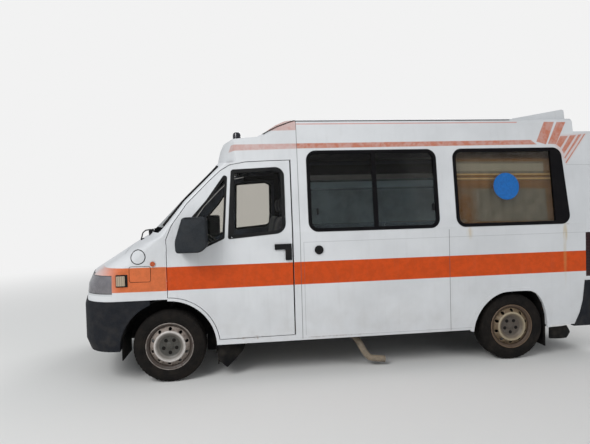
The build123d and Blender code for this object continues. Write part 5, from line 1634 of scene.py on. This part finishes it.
@dataclass
class LoadSpace:
    """What shows through the rear windows: stretcher, bench, wall lining and the stained blinds."""

    lining: tuple[float, ...] = (1225, 3790, 1300, 2060)
    lining_inset: float = 0.069
    frame_y: tuple[float, float] = (-0.544, -0.036)
    leg_y: tuple[float, float] = (-0.52, -0.06)
    legs: tuple[float, float] = (1850, 3350)
    leg_foot: float = 0.60
    castor: Section = ((0.0, -0.012), (0.05, -0.012), (0.05, 0.012), (0.0, 0.012))
    castor_height: float = 0.5705
    blind_middle: tuple[float, float] = (3182, 1.66)
    blind_half: tuple[float, float] = (0.53, 0.37)
    blind_inset: float = 0.061
    fold_deep: float = 0.003
    fold_length: float = 0.11

    def build(self, workshop: Workshop) -> None:
        """Builds each interior piece."""
        self.stretcher(workshop)
        Pad("bench_pad", (at(2652), 0.472, 0.80), (at(3798), 0.948, 0.90)).build(workshop, "black_coated_cloth")
        box = block((at(2650), 0.47, 0.678), (at(3800), 0.95, 0.80))
        locker = workshop.piece("bench_locker", box, "grey_liner_board", bevel=0.004)
        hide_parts("bench")
        lining = strip(*self.lining, 2)
        bmesh.ops.subdivide_edges(lining, edges=lining.edges[:], cuts=6, use_grid_fill=True)
        for vert in lining.verts:
            vert.co.y = wall_reach(vert.co.z, self.lining_inset)
        thicken(lining, (0, -0.008, 0))
        workshop.piece("right_wall_lining", lining, "railed_wall_lining")
        self.blinds(workshop)

    def stretcher(self, workshop: Workshop) -> None:
        """A mattress on a tubular frame with cross tubes and castors."""
        pad = Pad("stretcher_mattress", (at(1722), -0.55, 0.80), (at(3598), -0.03, 0.878)).build(
            workshop, "black_coated_cloth")
        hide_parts("stretcher")
        near, far = self.frame_y
        tubes = [block((at(1700), y - 0.016, 0.768), (at(3620), y + 0.016, 0.80)) for y in self.frame_y]
        tubes += [block((at(s), near, 0.772), (at(s + 28), far, 0.797)) for s in range(1700, 3600, 270)]
        castors = []
        for s in self.legs:
            for y in self.leg_y:
                tubes.append(block((at(s + 14), y - 0.014, self.leg_foot), (at(s + 42), y + 0.014, 0.77)))
                castors.append(turned(self.castor, Vector((at(s + 30), y, self.castor_height)), 32))
            tubes.append(block((at(s + 16), self.leg_y[0], self.leg_foot),
                               (at(s + 40), self.leg_y[1], self.leg_foot + 0.024)))
        workshop.piece("stretcher_frame", merged(*tubes), "bright_alloy", bevel=0.009, segments=3)
        workshop.piece("stretcher_castors", merged(*castors), "black_sealing_rubber", bevel=0.003)

    def blinds(self, workshop: Workshop) -> None:
        """One blind behind each rear side window, in shallow folds."""
        station, height = self.blind_middle
        place = Matrix.Translation((at(station), 0, height))
        size = Matrix.Diagonal((self.blind_half[0], 1, self.blind_half[1], 1))
        for side in Side:
            mesh = bmesh.new()
            bmesh.ops.create_grid(mesh, x_segments=90, y_segments=12, size=1, matrix=place @ size @ UPRIGHT)
            for vert in mesh.verts:
                fold = self.fold_deep * math.sin((vert.co.x - at(2660)) * math.tau / self.fold_length)
                vert.co.y = side * (wall_reach(vert.co.z, self.blind_inset) + fold)
            blind = workshop.piece(side.word + "_window_blind", mesh, "stained_window_blind",
                                   smooth=180)
        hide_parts("blinds")


@dataclass
class Studio:
    """The pale floor, the soft lamps and the camera at the photograph's place."""

    focus: float = 463.0
    frame_width: float = 590.0
    sensor: float = 36.0
    yaw: float = math.radians(6.47)
    pitch: float = math.radians(-1.46)
    roll: float = math.radians(1.58)
    eye: Point = (-0.9485, -5.101, 1.487)
    lamps: tuple[tuple[str, Point, float, float, bool], ...] = (  # place, watts, size, seen in gloss
        ("key_lamp", (-5.5, -6.5, 6.5), 500, 4.0, True), ("fill_lamp", (5.5, -7.0, 4.0), 130, 5.0, False),
        ("back_lamp", (3.0, 7.0, 6.0), 380, 5.0, True))

    def build(self) -> None:
        """Sets the whole studio."""
        self.place_camera()
        self.lay_floor()
        self.light_sky()
        self.hang_lamps()
        bpy.context.scene.view_settings.view_transform = "Standard"

    def place_camera(self) -> None:
        """Turns the camera as the photograph's stood."""
        right = Vector((math.cos(self.yaw), -math.sin(self.yaw), 0))
        ahead = Vector((math.sin(self.yaw), math.cos(self.yaw), 0))
        up = Vector(UP)
        tilted = ahead * math.cos(self.pitch) + up * math.sin(self.pitch)
        up = up * math.cos(self.pitch) - ahead * math.sin(self.pitch)
        across = right * math.cos(self.roll) - up * math.sin(self.roll)
        up = up * math.cos(self.roll) + right * math.sin(self.roll)
        lens = bpy.data.cameras.new("camera")
        lens.sensor_width = self.sensor
        lens.lens = self.focus / self.frame_width * self.sensor
        lens.clip_end = 100.0
        camera = bpy.data.objects.new("camera", lens)
        turn = Matrix((across, up, -tilted)).transposed().to_4x4()
        camera.matrix_world = Matrix.Translation(self.eye) @ turn
        bpy.context.scene.collection.objects.link(camera)
        bpy.context.scene.camera = camera

    def lay_floor(self) -> None:
        """A wide pale matt floor that fades into the white behind it."""
        mesh = bmesh.new()
        bmesh.ops.create_circle(mesh, cap_ends=True, segments=48, radius=30)
        data = bpy.data.meshes.new("studio_floor")
        mesh.to_mesh(data)
        mesh.free()
        floor = bpy.data.objects.new("studio_floor", data)
        bpy.context.scene.collection.objects.link(floor)
        material = bpy.data.materials.new("studio_floor")
        material.use_nodes = True
        tree = material.node_tree
        tree.nodes.clear()
        p = Pattern(tree)
        matt = add_node(tree, "BsdfPrincipled", {"Base Color": "dcdcda", "Roughness": 0.9,
                                                 "Specular IOR Level": 0.0})
        reach = add_node(tree, "VectorMath", {"operation": "LENGTH", 0: p.place}).outputs["Value"]
        shown = p.both(p.ramp(reach, 3.0, 11.0), add_node(tree, "LightPath").outputs["Is Camera Ray"])
        pale = add_node(tree, "Emission", {"Color": "f2f2f2", "Strength": 1.0})
        faded = add_node(tree, "MixShader", {0: shown, 1: matt.outputs[0], 2: pale.outputs[0]})
        add_node(tree, "OutputMaterial", {"Surface": faded.outputs[0]})
        data.materials.append(material)

    def light_sky(self) -> None:
        """A soft grey sky that shows white to the camera."""
        world = bpy.data.worlds.new("studio_sky")
        bpy.context.scene.world = world
        world.use_nodes = True
        tree = world.node_tree
        tree.nodes.clear()
        rays = add_node(tree, "LightPath").outputs
        seen = add_node(tree, "Math", {"operation": "MAXIMUM", 0: rays["Is Camera Ray"],
                                       1: rays["Is Transmission Ray"]})
        sky = add_node(tree, "Background", {"Color": "eceff3", "Strength": 0.56})
        white = add_node(tree, "Background", {"Color": "f2f2f2", "Strength": 1.0})
        mixed = add_node(tree, "MixShader", {0: seen.outputs[0], 1: sky.outputs[0], 2: white.outputs[0]})
        add_node(tree, "OutputWorld", {"Surface": mixed.outputs[0]})

    def hang_lamps(self) -> None:
        """The wide lamps, turned to the vehicle's middle."""
        for name, spot, power, size, glossy in self.lamps:
            light = bpy.data.lights.new(name, "AREA")
            light.energy, light.size = power, size
            lamp = bpy.data.objects.new(name, light)
            lamp.location = spot
            lamp.visible_glossy = glossy
            lamp.rotation_euler = (Vector(UP) - Vector(spot)).to_track_quat("-Z", "Y").to_euler()
            bpy.context.scene.collection.objects.link(lamp)


def main() -> None:
    """Builds the ambulance's looks, assembly by assembly."""
    logging.basicConfig(level=logging.INFO, format="%(message)s")
    workshop = Workshop()
    workshop.dress()
    for corner in ("front_left", "front_right", "rear_left", "rear_right"):
        RoadWheel(corner).build(workshop)
    for assembly in (SideFittings(), WindowFrames(), Exhaust(), RubberSeals(), WheelHouses(), EndFittings(),
                     SignalLamps(), *(DoorMirror(side) for side in Side), CabSeats(), LoadSpace()):
        assembly.build(workshop)
    Studio().build()


if __name__ == "__main__":
    main()
